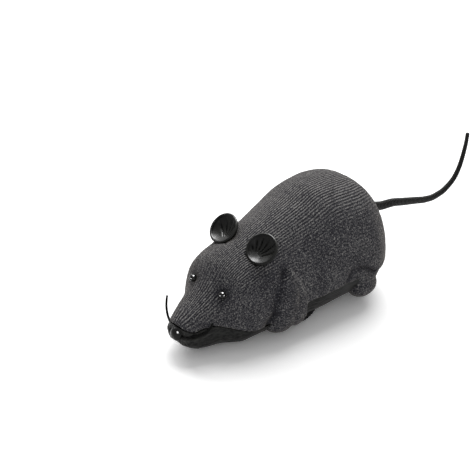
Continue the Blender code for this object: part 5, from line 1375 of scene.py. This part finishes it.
@dataclass
class Studio:
    """The camera, the soft lamps, the world and the pale floor."""

    camera_place: tuple = (0.4081, 0.3568, 0.3483)
    camera_aim: tuple = (0.0545, -0.0165, 0.0381)
    lens: float = 93.5
    sensor: float = 36.0
    floor_size: float = 6.0
    floor_tones: tuple = (0.80, 1.22)
    sky_levels: tuple = (0.42, 1.0)
    lamp_aim: tuple = (0.03, 0, 0.02)
    lamps: tuple = (("key", (-0.42, -0.34, 0.85), 0.90, 9.5), ("fill", (0.75, 0.75, 0.55), 0.90, 2.2),
                    ("rim", (-0.10, -0.80, 0.60), 0.50, 3.0))
    nose_lamps: tuple = (((0.42, 0.33, 0.44), 0.36, 26.0),)
    ear_lamps: tuple = (((-0.30, -0.30, 0.80), 0.50, 36.0),)
    eye_lamps: tuple = (((-0.15, -0.02, 0.75), 0.60, 90.0), ((0.88, -0.18, -0.20), 0.75, 150.0),
                        ((-0.14, 0.79, -0.20), 0.75, 150.0))

    def camera(self) -> None:
        """Place the camera at the photograph's angle."""
        data = bpy.data.cameras.new("camera")
        data.lens, data.sensor_width = self.lens, self.sensor
        item = bpy.data.objects.new("camera", data)
        item.location = self.camera_place
        aim = Vector(self.camera_aim) - Vector(self.camera_place)
        item.rotation_euler = aim.to_track_quat("-Z", "Y").to_euler()
        bpy.context.scene.collection.objects.link(item)
        bpy.context.scene.camera = item

    def lamp(self, name: str, place: Sequence[float], size: float, power: float) -> Item:
        """Add a soft round lamp at a place, of a width and a power in watts, that looks at the mouse."""
        data = bpy.data.lights.new(name, "AREA")
        data.shape, data.energy = "ELLIPSE", power
        data.size = data.size_y = size
        item = bpy.data.objects.new(name, data)
        item.location = place
        item.rotation_euler = (Vector(self.lamp_aim) - Vector(place)).to_track_quat("-Z", "Y").to_euler()
        bpy.context.scene.collection.objects.link(item)
        return item

    def seen(self, tree: Tree) -> Socket:
        """Return 1 for the rays by which the camera, gloss and glass see the background, else 0."""
        path = add(tree, "ShaderNodeLightPath")
        both = add(tree, "ShaderNodeMath", {0: path.outputs["Is Camera Ray"], 1: path.outputs["Is Glossy Ray"]},
                   operation="MAXIMUM")
        return add(tree, "ShaderNodeMath", {0: both.outputs[0], 1: path.outputs["Is Transmission Ray"]},
                   operation="MAXIMUM").outputs[0]

    def world(self) -> None:
        """Light the scene evenly; what the camera and reflections see is white."""
        world = bpy.data.worlds.new("studio")
        bpy.context.scene.world = world
        world.use_nodes = True
        tree = world.node_tree
        low, high = self.sky_levels
        level = add(tree, "ShaderNodeMapRange", {"Value": self.seen(tree), "To Min": low, "To Max": high})
        fill(tree, tree.nodes["Background"], {"Color": (1, 1, 1, 1), "Strength": level.outputs[0]})

    def floor(self) -> None:
        """Lay a pale floor that is white to the camera and keeps the shadow."""
        bpy.ops.object.select_all(action="DESELECT")
        bpy.ops.mesh.primitive_plane_add(size=self.floor_size)
        item = bpy.context.object
        item.name = "studio_floor"
        made = bpy.data.materials.new("matt_white_sweep")
        made.use_nodes = True
        tree = made.node_tree
        lit, shown = ((tone, tone, tone, 1) for tone in self.floor_tones)
        colour = add(tree, "ShaderNodeMix", {"Factor": self.seen(tree), 6: lit, 7: shown}, data_type="RGBA")
        fill(tree, tree.nodes["Principled BSDF"],
             {"Base Color": colour.outputs[2], "Roughness": 1.0, "Specular IOR Level": 0.0})
        item.data.materials.append(made)

    def build(self) -> None:
        """Set the view and build the studio."""
        bpy.context.scene.view_settings.view_transform = "Standard"
        self.camera()
        for lamp in self.lamps:
            self.lamp(*lamp)
        self.world()
        self.floor()

    def catchlights(self, nose: Item, eyes: Sequence[Item],
                    ears: Sequence[Item]) -> None:
        """Hang lamps that only the nose, the bead eyes or the ears take light from."""
        for word, pieces, lamps in (("nose", (nose,), self.nose_lamps), ("ears", ears, self.ear_lamps),
                                    ("eyes", eyes, self.eye_lamps)):
            group = bpy.data.collections.new(f"{word}_catchlight")
            for piece in pieces:
                group.objects.link(piece)
            for k, (place, size, power) in enumerate(lamps):
                linking = self.lamp(f"{word}_catch_{k + 1}", place, size, power).light_linking
                linking.receiver_collection = linking.blocker_collection = group


def main() -> None:
    """Build the toy's pieces in order."""
    logging.basicConfig(level=logging.INFO, format="%(name)s: %(message)s")
    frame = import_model()
    studio = Studio()
    studio.build()
    form = BodyForm()
    FlockedShell(form).build()
    LowerBody(form).build()
    nose, *eyes = Face(form).build()
    studio.catchlights(nose, eyes, Ears(form).build())
    Tail(form).build()
    DriveWheels().build()
    Works(frame["nodes"]).dress(frame["record"])


if __name__ == "__main__":
    main()
